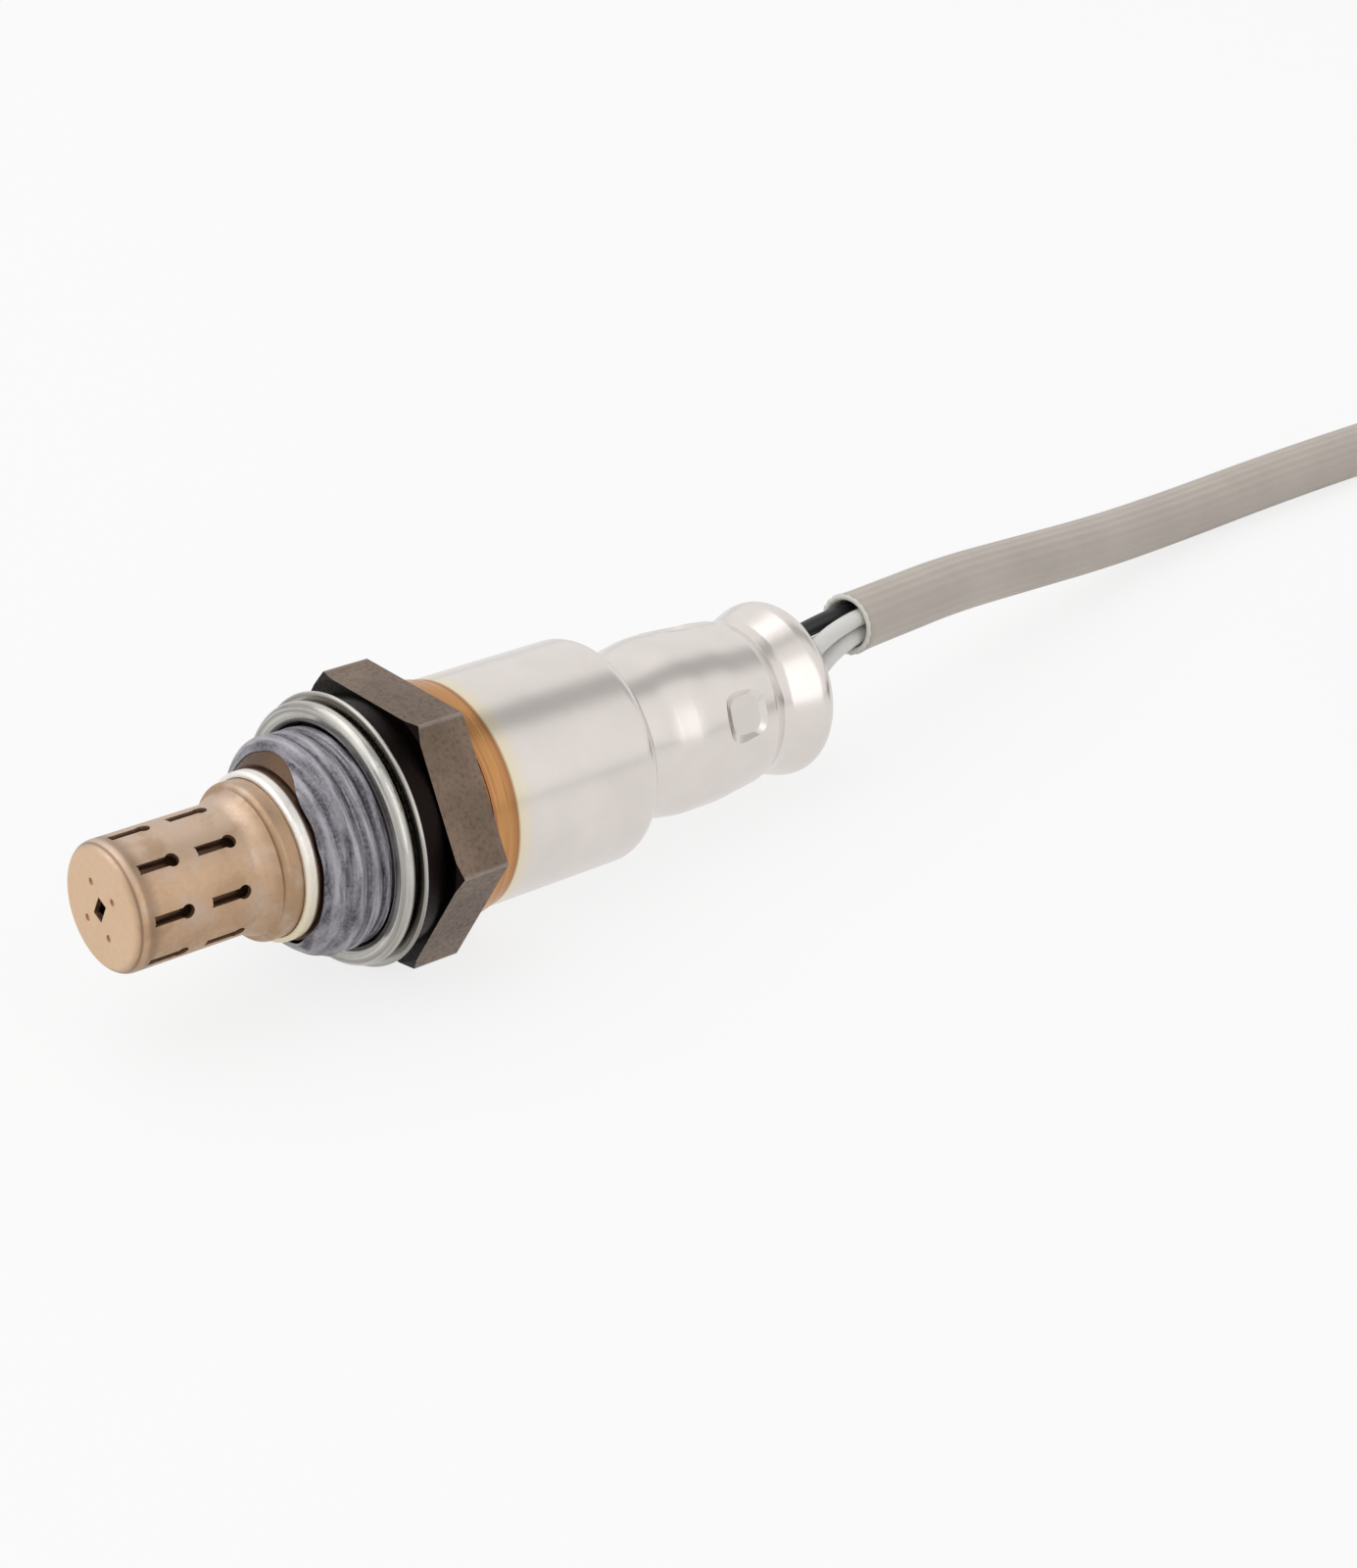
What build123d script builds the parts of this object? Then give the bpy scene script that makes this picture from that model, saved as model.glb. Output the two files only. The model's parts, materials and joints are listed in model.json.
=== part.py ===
from build123d import *
import os
from math import asin, atan2, cos, degrees, hypot, radians, sin, tan

# Heated exhaust oxygen sensor with an M18 x 1.5 thread, four wires and a plug.
# The sensor is drawn about the X axis and then laid down as it comes to rest: on the rear
# edge of a hexagon flat and on the shoulder of its cover. Millimetres, +Z up.
# Drawing datum X = 0 is the hexagon's front face. Minus X points into the exhaust gas,
# plus X towards the cable. Angles round the axis run from +Z towards -Y.

# ---------------------------------------------------------------- driving dimensions
fit_gap = 0.05                 # clearance between pieces that fit together

# housing
hex_flats = 22.0
hex_length = 4.75
hex_chamfer = 0.35
seat_radius = 10.75            # round washer face ahead of the hexagon
seat_length = 2.3
undercut_radius = 8.0
undercut_length = 2.2          # holds the gasket, clear of the thread
thread_radius = 9.0            # major radius of M18
thread_length = 3.0
lead_radius = 7.3              # small end of the thread's lead-in cone
lead_length = 1.7
relief_radius = 7.0            # groove between the lead-in cone and the nose lip
relief_length = 0.4
lip_radius = 7.1
lip_length = 1.2
socket_depth = 1.1             # socket in the nose that holds both protectors
nose_bore = 4.2
seat_cone_length = 1.6         # cone that the sensing element is pressed against
chamber_radius = 6.3
chamber_length = 13.3          # from the cone to the underside of the crimped lip
boss_radius = 10.1             # weld boss behind the hexagon
boss_length = 0.75
skirt_radius = 9.45            # turned skirt inside the cover
skirt_length = 1.9
crimp_wall = 1.0
crimp_lip = 0.7
crimp_overlap = 1.1

# folded crush gasket
gasket_sheet = 0.4
gasket_inner = 9.3
gasket_outer = 11.4
gasket_roll = 11.1
gasket_height = 2.1
gasket_slot = 0.25             # open slot between the roll and the rear flange
gasket_bend = 0.5              # centre-line radius of the roll's corners

# protectors
protector_sheet = 0.45
protector_radius = 5.4
protector_length = 15.15       # from the tip to the rear end of the collar
protector_edge = 1.05
collar_radius = 6.6
collar_length = 2.35           # from the step to the collar's rear end
flare_radius = 6.05            # the flare ends here, at the foot of the step
flare_length = 1.5
step_length = 0.12
slot_length = 3.6
slot_width = 0.82
slot_end = 1.16                # diameter of the slot's round rear end
slot_count = 8
slot_rows = (3.3, 8.5)         # distance of each row's centre from the tip
slot_angle = 36.5
tongue_length = 2.9            # tongue left in each slot, hinged at its front end
tongue_play = 0.08             # between the tongue and each side of the slot
tongue_sheet = 0.35
tongue_bend = 0.5              # length of the steep bend behind the hinge
tongue_fall = (0.8, 1.1)       # depth behind the bend and at the free end
tip_slot = (1.8, 1.15)
tip_slot_turn = 24.0           # the slot leans from the vertical by this much
stake_radius = 0.3
stake_depth = 0.15
stake_spots = ((1.5, 1.75), (-1.5, 1.75), (1.5, -1.75), (-1.5, -1.75))
stake_turn = 11.0
inner_sheet = 0.35
inner_radius = 3.65
inner_end_gap = 1.1
inner_hole_radius = 0.5
inner_hole_count = 6
inner_hole_setback = 2.6

# sensing element, heater and seals
washer_thickness = 0.35
element_tip_radius = 2.4
element_root_radius = 3.1
element_reach = 16.4           # ahead of the cone
element_flange_length = 2.6
element_tail_radius = 4.1
element_tail_length = 13.6
element_bore = 1.9
element_end_wall = 2.4
heater_radius = 1.4
heater_tail = 6.0              # stands out behind the element
talc_length = 4.6
crimp_ring_wire = 0.5

# contacts and ceramic separator
strip_width = 1.2
strip_thickness = 0.3
contact_wall = 0.3
contact_length = 2.2
plug_length = 6.6
wire_pitch_radius = 3.1
barrel_radius = 1.25
barrel_length = 5.0
barrel_plug = 0.6
separator_radius = 6.5
separator_length = 12.0
separator_front_gap = 1.6      # behind the heater's end
strip_hole_radius = 0.95
strip_hole_length = 3.6
clip_sheet = 0.25
clip_length = 4.1
clip_opening = 60.0
clip_setback = 0.9

# cover: one drawn tube, wide over the seals and narrow over the grommet
cover_sheet = 0.45
cover_radius = 9.95
cover_length = 41.0
shoulder_at = 17.7             # corner of the shoulder, from the cover's front edge
shoulder_length = 1.5
shoulder_round = 1.6
neck_radius = 7.4
neck_length = 2.9
neck_swell = 0.12              # the neck itself grows by this much
body_rise = 3.2                # the narrow body swells to its full radius over this length
body_radius = 8.05
body_length = 4.0
waist_radius = 7.55            # the body draws in again to this radius ahead of the groove
groove_at = 33.7
groove_fall = 1.3
groove_floor = 1.0
groove_rise = 2.9
groove_radius = 7.05
end_radius = 8.0
end_round = 1.5
end_dish = 0.4                 # the end face is drawn back this far at its mouth
mouth_radius = 5.3
weld_radius = 10.2
weld_width = 1.7
dimple_count = 4
dimple_angle = 69.5
dimple_at = 30.25
dimple_length = 6.1
dimple_width = 6.3
dimple_depth = 0.75
dimple_slope = 1.45
dimple_round = 1.1

# grommet and wires
grommet_front_gap = 0.8
grommet_waist = 6.75
grommet_waist_end = 32.7       # from the cover's front edge
grommet_setback = 4.4          # rear face inside the cover's mouth
wire_diameter = 1.6
sleeve_outer = 5.6
sleeve_bore = 4.5
bundle_offset = 0.86           # each wire's sideways offset inside the sleeve
wire_leave = 3.9               # straight wire behind the grommet before it turns
sleeve_lead = 2.6              # the wires are parallel this far ahead of the sleeve

# plug at the cable's end, lying on the same surface, its mouth towards minus X
plug_width = 17.0
plug_height = 13.0
plug_length_body = 17.0
plug_nose_width = 13.4
plug_nose_height = 9.6
plug_nose_length = 9.0
plug_edge = 1.2
plug_pitch = 4.2
plug_wire_hole = 1.5
plug_seal_depth = 5.0
plug_cavity = 2.4
plug_face_wall = 1.2
plug_pin_way = 1.1
plug_rear = Vector(117.5, -45.0, plug_height / 2)
latch_length = 15.0
latch_width = 5.0
latch_thickness = 1.4
latch_gap = 1.6
lock_thickness = 1.6
lock_setback = 3.0             # behind the nose's root
nose_seal_width = 2.4
nose_seal_thickness = 0.9
terminal_box = 1.9
terminal_box_length = 12.0
terminal_socket = 0.9

# route of the sleeve's centre line, by hand, from its mouth beside the sensor to the plug
sleeve_route = (
    (44.5, 0.5, 11.5), (51.2, 1.2, 11.0), (61.2, 3.4, 9.5), (74.1, 5.5, 7.1),
    (88.1, 7.6, 4.6), (101.9, 9.1, 3.1), (115.7, 9.2, 2.8), (129.4, 8.4, 2.8),
    (148.6, 6.7, 2.8), (166.0, 1.9, 2.8), (176.2, -10.4, 2.8), (176.2, -26.1, 2.8),
    (166.7, -39.2, 2.8), (151.3, -44.2, 2.8), (135.5, -45.0, 2.9),
)

# ---------------------------------------------------------------- stations along the axis
seat_face = -seat_length
thread_rear = seat_face - undercut_length
thread_front = thread_rear - thread_length
lead_front = thread_front - lead_length
lip_rear = lead_front - relief_length
nose_front = lip_rear - lip_length
socket_floor = nose_front + socket_depth
cone_rear = seat_face - 1.7
cone_front = cone_rear - seat_cone_length
lip_underside = cone_rear + chamber_length
boss_rear = hex_length + boss_length
skirt_rear = boss_rear + skirt_length
housing_rear = lip_underside + crimp_lip
collar_rear = socket_floor - inner_sheet
tip = collar_rear - protector_length
element_tip = cone_front - element_reach
flange_front = cone_rear + washer_thickness
flange_rear = flange_front + element_flange_length
element_rear = flange_rear + element_tail_length
heater_rear = element_rear + heater_tail
talc_rear = flange_rear + talc_length
ring_front = lip_underside - 2 * crimp_ring_wire
separator_front = heater_rear + separator_front_gap
separator_rear = separator_front + separator_length
barrel_front = separator_front + strip_hole_length + fit_gap
cover_front = boss_rear
cover_rear = cover_front + cover_length
shoulder_corner = cover_front + shoulder_at
neck = shoulder_corner + shoulder_length
body_start = neck + neck_length + body_rise
body_end = body_start + body_length
groove_front = cover_front + groove_at
floor_front = groove_front + groove_fall
collar_front = floor_front + groove_floor + groove_rise
grommet_front = separator_rear + grommet_front_gap
grommet_rear = cover_rear - grommet_setback
wire_start = barrel_front + barrel_plug + fit_gap
wire_radius = wire_diameter / 2
hex_corner = hex_flats / 2 / cos(radians(30))


# ---------------------------------------------------------------- small helpers
def turned(*outline, rounds=(), angle=360):
    """Solid of revolution about X from (x, radius) points; rounds are (x, radius, size)."""
    face = make_face(Polyline(*outline, close=True))
    for x, r, size in rounds:
        corner = face.vertices().sort_by_distance((x, r, 0))[0]
        face = fillet(corner, size)
    return revolve(face, Axis.X, angle)


def drawn(outline, radii, wall):
    """Sheet-metal tube about X: the outer line's corners are rounded, the wall lies inside."""
    outer = FilletPolyline(*outline, radius=radii).wire()
    section = make_face(outer.offset_2d(wall, side=Side.RIGHT, closed=True))
    return revolve(section, Axis.X, 360)


def spun(angle, solid):
    """The solid turned about X, from +Z towards -Y."""
    return Rot(X=angle) * solid


def bent_strip(*line):
    """Flat strip in the XZ plane: (x, z) points, strip_width across."""
    path = Polyline(*[(x, z) for x, z in line]).wire()
    side = make_face(path.offset_2d(strip_thickness / 2, kind=Kind.INTERSECTION))
    return extrude(Plane.XZ * side, strip_width / 2, both=True)


def corner_radii(points, diameter):
    """0.45 of the shorter run over the tangent of half the turn, at each inner point."""
    radii = []
    for before, here, after in zip(points, points[1:], points[2:]):
        run_in, run_out = here - before, after - here
        half_turn = radians(run_in.get_angle(run_out)) / 2
        radii.append(0.45 * min(run_in.length, run_out.length) / tan(half_turn))
    print("   corner radii in diameters", [round(r / diameter, 1) for r in radii])
    return radii


def cord(points, diameter, bore=0.0):
    """Round cord or tube along straight runs joined by tangent arcs."""
    points = [Vector(*p) for p in points]
    path = FilletPolyline(*points, radius=corner_radii(points, diameter)).wire()
    section = Circle(diameter / 2)
    if bore:
        section -= Circle(bore / 2)
    face = Plane(origin=path @ 0, z_dir=path % 0) * section
    solid = sweep(face, path=path)
    area = section.area
    print(f"   length {path.length:.1f}, volume over section x length "
          f"{solid.volume / (area * path.length):.4f}")
    return solid


def beside(points, across, above):
    """The route's points moved sideways and up, square to the route at each point."""
    points = [Vector(*p) for p in points]
    runs = [(b - a).normalized() for a, b in zip(points, points[1:])]
    side = runs[0].cross(Vector(0, 0, 1)).normalized()
    lift = side.cross(runs[0])
    offset = side * across + lift * above
    moved = [points[0] + offset]
    for here, run, onward in zip(points[1:], runs, runs[1:] + [None]):
        if onward is None:
            moved.append(here + offset)
            continue
        hinge = run.cross(onward).normalized()
        turn = radians(run.get_angle(onward))
        inward = hinge.cross(run)
        level, reach = offset.dot(hinge), offset.dot(inward)
        bisector = (onward - run).normalized()
        moved.append(here + hinge * level + bisector * (reach / cos(turn / 2)))
        offset = hinge * level + hinge.cross(onward) * reach
    return moved


# ---------------------------------------------------------------- protectors
def tongue():
    """Louvre tongue: hinged at the slot's front end and pressed in below the surface."""
    top = protector_radius - protector_sheet / 2
    bend, end = tongue_fall
    line = Polyline((-0.35, top), (0, top), (tongue_bend, top - bend), (tongue_length, top - end))
    side = make_face(line.wire().offset_2d(tongue_sheet / 2, kind=Kind.INTERSECTION))
    return extrude(Plane.XZ * side, slot_width / 2 - tongue_play, both=True)


def outer_protector():
    """Deep-drawn cup with two rows of louvres, a vent slot and four stake marks in its end."""
    step = collar_rear - collar_length
    shell = drawn(
        [(tip, 0), (tip, protector_radius), (step - flare_length, protector_radius),
         (step, flare_radius), (step + step_length, collar_radius), (collar_rear, collar_radius)],
        [protector_edge, 1.6, 0.15, 0.5], protector_sheet)
    ways, tongues = [], []
    way = Box(slot_length - slot_end / 2, slot_width, 3, align=(Align.MIN, Align.CENTER, Align.CENTER))
    way += Pos(slot_length - slot_end / 2, 0, 0) * Cylinder(slot_end / 2, 3)
    for row in slot_rows:
        front = tip + row - slot_length / 2
        for i in range(slot_count):
            angle = slot_angle + i * 360 / slot_count
            ways.append(spun(angle, Pos(front, 0, protector_radius) * way))
            tongues.append(spun(angle, Pos(front, 0, 0) * tongue()))
    shell = shell - ways + tongues
    vent = Pos(tip, 0, 0) * Rot(X=tip_slot_turn) * Box(3, tip_slot[1], tip_slot[0])
    stakes = [Pos(tip, 0, 0) * Rot(X=stake_turn) * Pos(0, y, z) * Rot(Y=90)
              * Cylinder(stake_radius, 2 * stake_depth) for y, z in stake_spots]
    return shell - vent - stakes


def inner_protector():
    """Inner cup with a flange that the outer protector clamps in the nose socket."""
    end = tip + protector_sheet + inner_end_gap
    shell = drawn(
        [(end, 0), (end, inner_radius), (socket_floor - inner_sheet, inner_radius),
         (socket_floor - inner_sheet, collar_radius)],
        [0.8, 0.4], inner_sheet)
    holes = [spun(i * 360 / inner_hole_count,
                  Pos(end + inner_hole_setback, 0, inner_radius) * Cylinder(inner_hole_radius, 3))
             for i in range(inner_hole_count)]
    return shell - holes


# ---------------------------------------------------------------- housing and gasket
def housing():
    """Turned body: nose socket, thread blank, washer face, hexagon, weld boss, crimped lip."""
    crimp_radius = chamber_radius + crimp_wall
    body = turned(
        (nose_front, collar_radius + fit_gap), (nose_front, lip_radius),
        (lip_rear, lip_radius), (lip_rear, relief_radius), (lead_front, relief_radius),
        (lead_front, lead_radius), (thread_front, thread_radius),
        (thread_rear, thread_radius), (thread_rear, undercut_radius),
        (seat_face, undercut_radius), (seat_face, seat_radius), (boss_rear, seat_radius),
        (boss_rear, skirt_radius), (skirt_rear, skirt_radius), (skirt_rear, crimp_radius),
        (housing_rear, crimp_radius), (housing_rear, chamber_radius - crimp_overlap),
        (lip_underside, chamber_radius - crimp_overlap), (lip_underside, chamber_radius),
        (cone_rear, chamber_radius), (cone_front, nose_bore), (socket_floor, nose_bore),
        (socket_floor, collar_radius + fit_gap),
        rounds=((nose_front, lip_radius, 0.35), (lip_rear, lip_radius, 0.05),
                (seat_face, seat_radius, 0.3),
                (housing_rear, crimp_radius, 0.6)))
    body -= turned((hex_length, boss_radius), (boss_rear, boss_radius),
                   (boss_rear, seat_radius + 1), (hex_length, seat_radius + 1))
    blank = extrude(Plane.YZ * RegularPolygon(hex_flats / 2, 6, major_radius=False), hex_length)
    bevel = turned((0, 0), (0, hex_corner - 2 * hex_chamfer), (hex_chamfer, hex_corner),
                   (hex_length, hex_corner), (hex_length, 0))
    core = turned((-1, 0), (-1, seat_radius - 1), (hex_length + 1, seat_radius - 1),
                  (hex_length + 1, 0))
    return body + ((blank & bevel) - core)


def gasket():
    """Crush ring folded from sheet: a hollow roll in front and a flat flange behind."""
    half = gasket_sheet / 2
    front = seat_face - gasket_height + half
    flange = seat_face - half
    fold = flange - gasket_sheet - gasket_slot
    inner, roll = gasket_inner + half, gasket_roll - half
    line = FilletPolyline(
        (fold, inner + 0.7), (fold, roll), (front, roll), (front, inner), (flange, inner),
        (flange, gasket_outer), radius=[gasket_bend, gasket_bend, gasket_bend, 0.3])
    return revolve(make_face(line.wire().offset_2d(half)), Axis.X, 360)


# ---------------------------------------------------------------- inside the housing
def front_washer():
    """Thin conical packing ring between the housing's cone and the element."""
    low, high = nose_bore + 0.1, chamber_radius - fit_gap
    slope = seat_cone_length / (chamber_radius - nose_bore)
    start = cone_front + 0.1 * slope
    end = cone_rear - fit_gap * slope
    return turned((start, low), (end, high), (end + washer_thickness, high),
                  (start + washer_thickness, low))


def zirconia_element():
    """Closed-end ceramic thimble with the flange that carries it."""
    outer = chamber_radius - 2 * fit_gap
    slope = seat_cone_length / (chamber_radius - nose_bore)
    cone_start = cone_front + washer_thickness + 0.1 * slope
    cone_end = cone_rear + washer_thickness - 2 * fit_gap * slope
    bore_end = element_tip + element_end_wall
    return turned(
        (element_tip, 0), (element_tip, element_tip_radius),
        (cone_front - 1.0, element_root_radius), (cone_start, element_root_radius + 0.2),
        (cone_start, nose_bore + 0.1), (cone_end, outer), (flange_rear, outer),
        (flange_rear, element_tail_radius), (element_rear, element_tail_radius),
        (element_rear, element_bore), (bore_end, element_bore - 0.3), (bore_end, 0),
        rounds=((element_tip, element_tip_radius, element_tip_radius - 0.3),))


def heater_rod():
    """Ceramic heater that stands in the element's bore."""
    front = element_tip + element_end_wall + 0.1
    return turned((front, 0), (front, heater_radius), (heater_rear, heater_radius),
                  (heater_rear, 0), rounds=((front, heater_radius, 0.5),))


def sleeve_in_chamber(front, rear, inner):
    """Plain ring that fills the housing's chamber round the element's tail."""
    outer = chamber_radius - fit_gap
    return turned((front, inner), (front, outer), (rear, outer), (rear, inner))


def crimp_ring():
    """Round wire ring under the housing's crimped lip."""
    centre = Pos(ring_front + crimp_ring_wire, chamber_radius - fit_gap - crimp_ring_wire, 0)
    return revolve(centre * Circle(crimp_ring_wire), Axis.X, 360)


# ---------------------------------------------------------------- contacts and separator
def wire_barrel():
    """Crimp barrel on one wire end, closed in front, about its own place in the pitch circle."""
    bore = wire_radius + 0.03
    barrel = turned((barrel_front, 0), (barrel_front, barrel_radius),
                    (barrel_front + barrel_length, barrel_radius),
                    (barrel_front + barrel_length, bore), (barrel_front + barrel_plug, bore),
                    (barrel_front + barrel_plug, 0))
    return Pos(0, 0, wire_pitch_radius) * barrel


def outer_contact():
    """Clip round the element's tail, with its lead and crimp barrel."""
    inner = element_tail_radius + fit_gap
    rear = element_rear - 0.2
    ring = turned((rear - contact_length, inner), (rear - contact_length, inner + contact_wall),
                  (rear, inner + contact_wall), (rear, inner))
    height = inner + contact_wall / 2
    lead = bent_strip((rear - 0.6, height), (element_rear + 2, height),
                      (element_rear + 5, wire_pitch_radius), (barrel_front + 0.3, wire_pitch_radius))
    return spun(wire_angle("signal"), ring + lead + wire_barrel())


def inner_contact():
    """Plug in the element's bore that also holds the heater, with its lead and barrel."""
    front, cap = element_rear - plug_length, element_rear + contact_wall
    plug = turned((front, heater_radius + fit_gap), (front, element_bore - fit_gap),
                  (element_rear, element_bore - fit_gap), (element_rear, wire_pitch_radius),
                  (cap, wire_pitch_radius), (cap, heater_radius + fit_gap))
    height = wire_pitch_radius - strip_thickness
    lead = bent_strip((element_rear + 0.1, height), (element_rear + 2, height),
                      (element_rear + 4, wire_pitch_radius), (barrel_front + 0.3, wire_pitch_radius))
    return spun(wire_angle("ground"), plug + lead + wire_barrel())


def heater_contact(name):
    """Flat spring that lies on one of the heater's pads, with its barrel."""
    height = heater_radius + strip_thickness / 2
    lead = bent_strip((heater_rear - 4.0, height), (heater_rear - 0.8, height),
                      (heater_rear + 0.9, wire_pitch_radius), (barrel_front + 0.3, wire_pitch_radius))
    return spun(wire_angle(name), lead + wire_barrel())


def separator():
    """Ceramic separator with a stepped hole for each contact."""
    body = turned((separator_front, 0), (separator_front, separator_radius),
                  (separator_rear, separator_radius), (separator_rear, 0),
                  rounds=((separator_front, separator_radius, 0.6),
                          (separator_rear, separator_radius, 0.6)))
    hole_rear = separator_front + strip_hole_length
    hole = turned((separator_front - 1, 0), (separator_front - 1, strip_hole_radius),
                  (hole_rear, strip_hole_radius), (hole_rear, barrel_radius + fit_gap),
                  (separator_rear + 1, barrel_radius + fit_gap), (separator_rear + 1, 0))
    return body - [spun(wire_angle(n), Pos(0, 0, wire_pitch_radius) * hole) for n in wire_names]


def separator_clip():
    """Split spring band that grips the separator and bears in the cover's neck."""
    front = separator_front + clip_setback
    inner, reach = separator_radius + fit_gap, neck_radius - cover_sheet - fit_gap
    band = turned((front, inner), (front, inner + clip_sheet),
                  (front + clip_length - clip_sheet, inner + clip_sheet),
                  (front + clip_length - clip_sheet, reach), (front + clip_length, reach),
                  (front + clip_length, inner), angle=360 - clip_opening)
    return spun(-clip_opening / 2, band)


# ---------------------------------------------------------------- cover and grommet
def dimple(extra):
    """Tool for one square dimple: a blunt pyramid with rounded corners, sunk from outside."""
    foot = RectangleRounded(dimple_length + 2 * extra, dimple_width + 2 * extra,
                            dimple_round + extra)
    floor = RectangleRounded(dimple_length - 2 * dimple_slope + 2 * extra,
                             dimple_width - 2 * dimple_slope + 2 * extra, dimple_round + extra)
    floor_height = body_radius - dimple_depth - extra
    place = Pos(cover_front + dimple_at, 0, 0)
    return place * loft([Pos(0, 0, floor_height) * floor, Pos(0, 0, body_radius + 0.3) * foot])


def cover():
    """Drawn steel cover: wide skirt, shoulder, neck, dimpled body, crimp groove, end collar."""
    shell = drawn(
        [(cover_front, cover_radius), (shoulder_corner, cover_radius), (neck, neck_radius),
         (neck + neck_length, neck_radius + neck_swell), (body_start, body_radius),
         (body_end, body_radius), (groove_front, waist_radius), (floor_front, groove_radius),
         (floor_front + groove_floor, groove_radius), (collar_front, end_radius),
         (cover_rear - end_dish, end_radius), (cover_rear, mouth_radius)],
        [shoulder_round, 0.7, 7.0, 9.0, 12.0, 0.6, 0.6, 1.2, 2.0, end_round], cover_sheet)
    bead = turned((cover_front, cover_radius - 0.1), (cover_front, weld_radius),
                  (cover_front + weld_width, weld_radius),
                  (cover_front + weld_width, cover_radius - 0.1),
                  rounds=((cover_front, weld_radius, 0.12),
                          (cover_front + weld_width, weld_radius, 0.2)))
    angles = [dimple_angle + i * 360 / dimple_count for i in range(dimple_count)]
    skin = 0.06
    limit = turned((neck, 0), (neck, neck_radius - skin), (body_start, body_radius - skin),
                   (body_end, body_radius - skin), (groove_front, waist_radius - skin),
                   (groove_front, 0))
    backs = [spun(a, dimple(cover_sheet)) & limit for a in angles]
    sinks = [spun(a, dimple(0.0)) for a in angles]
    return (shell + bead) + backs - sinks


def grommet():
    """Rubber plug with four wire holes, waisted where the cover is dimpled and crimped."""
    gap = cover_sheet + fit_gap
    waist_end = cover_front + grommet_waist_end
    body = turned(
        (grommet_front, 0), (grommet_front, grommet_waist - gap), (waist_end, grommet_waist - gap),
        (waist_end, waist_radius - gap), (groove_front - 0.4, waist_radius - gap),
        (floor_front - 0.4, groove_radius - gap), (grommet_rear, groove_radius - gap),
        (grommet_rear, 0))
    hole = Pos((grommet_front + grommet_rear) / 2, 0, wire_pitch_radius) * Rot(Y=90) * Cylinder(
        wire_radius + 0.03, grommet_rear - grommet_front + 2)
    return body - [spun(wire_angle(n), hole) for n in wire_names]


# ---------------------------------------------------------------- rest pose of the sensor
wire_names = ("signal", "heater_a", "heater_b", "ground")


def wire_angle(name):
    """The four wires stand at 45 degrees to the vertical, a quarter turn apart."""
    return -45 + 90 * wire_names.index(name)


def rest_tilt():
    """Tilt at which the hexagon's rear edge and the round of the shoulder both touch."""
    slope = atan2(cover_radius - neck_radius, shoulder_length)
    along = shoulder_corner - shoulder_round * tan(slope / 2) - hex_length
    drop = hex_flats / 2 - (cover_radius - shoulder_round)
    return atan2(drop, along) - asin(shoulder_round / hypot(along, drop))


tilt = rest_tilt()
lift = hex_length * sin(tilt) + hex_flats / 2 * cos(tilt)
tip_reach = tip * cos(tilt) - (protector_radius - protector_edge) * sin(tilt) \
    - protector_edge * (1 - cos(tilt))


def rear_reach():
    """Furthest X of the tilted sensor: the rim of the cover's mouth."""
    sample = Rot(Y=degrees(tilt)) * cover()
    return sample.bounding_box().max.X


middle = (tip_reach + rear_reach()) / 2
rest = Pos(-middle, 0, lift) * Rot(Y=degrees(tilt))


def laid(x, across, above):
    """A point of the drawing frame, once the sensor lies at rest."""
    return (rest * Pos(x, across, above)).position


# ---------------------------------------------------------------- wires, sleeve and plug
def wire_spots(name):
    """Offset of a wire from the middle of the bundle: sign across and sign above."""
    angle = radians(wire_angle(name))
    return -1 if sin(angle) < 0 else 1, 1 if cos(angle) > 0 else -1


def wire_route(name):
    """From the crimp barrel through the grommet and the sleeve to the plug's crimp."""
    angle = radians(wire_angle(name))
    y, z = -wire_pitch_radius * sin(angle), wire_pitch_radius * cos(angle)
    across, above = wire_spots(name)
    start = Vector(*sleeve_route[0])
    first_run = (Vector(*sleeve_route[1]) - start).normalized()
    end = Vector(*sleeve_route[-1])
    last_run = (end - Vector(*sleeve_route[-2])).normalized()
    centre = [start - first_run * sleeve_lead] + list(sleeve_route[1:-1])
    centre.append(end + last_run * sleeve_lead)
    inside = beside(centre, across * bundle_offset, above * bundle_offset)
    entry = plug_rear + Vector(3.0, across * plug_pitch / 2, above * plug_pitch / 2)
    crimp = plug_rear + Vector(-plug_seal_depth - 2.0, across * plug_pitch / 2,
                               above * plug_pitch / 2)
    return [laid(wire_start, y, z), laid(grommet_rear + wire_leave, y, z)] + inside \
        + [entry, crimp]


def plug_spots():
    """Sideways and upward place of each terminal in the plug."""
    half = plug_pitch / 2
    return [(across * half, above * half) for across in (-1, 1) for above in (-1, 1)]


def along_plug(front, rear, radius):
    """Round bar along the plug's axis between two distances ahead of its rear face."""
    length = rear - front
    return Pos(-(front + rear) / 2, 0, 0) * Rot(Y=90) * Cylinder(radius, length)


def block(front, rear, width, height):
    """Box along the plug's axis between two distances ahead of its rear face."""
    return Pos(-(front + rear) / 2, 0, 0) * Box(rear - front, width, height)


nose_root = plug_length_body
nose_end = plug_length_body + plug_nose_length
lock_front = nose_root - lock_setback - lock_thickness


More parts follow.
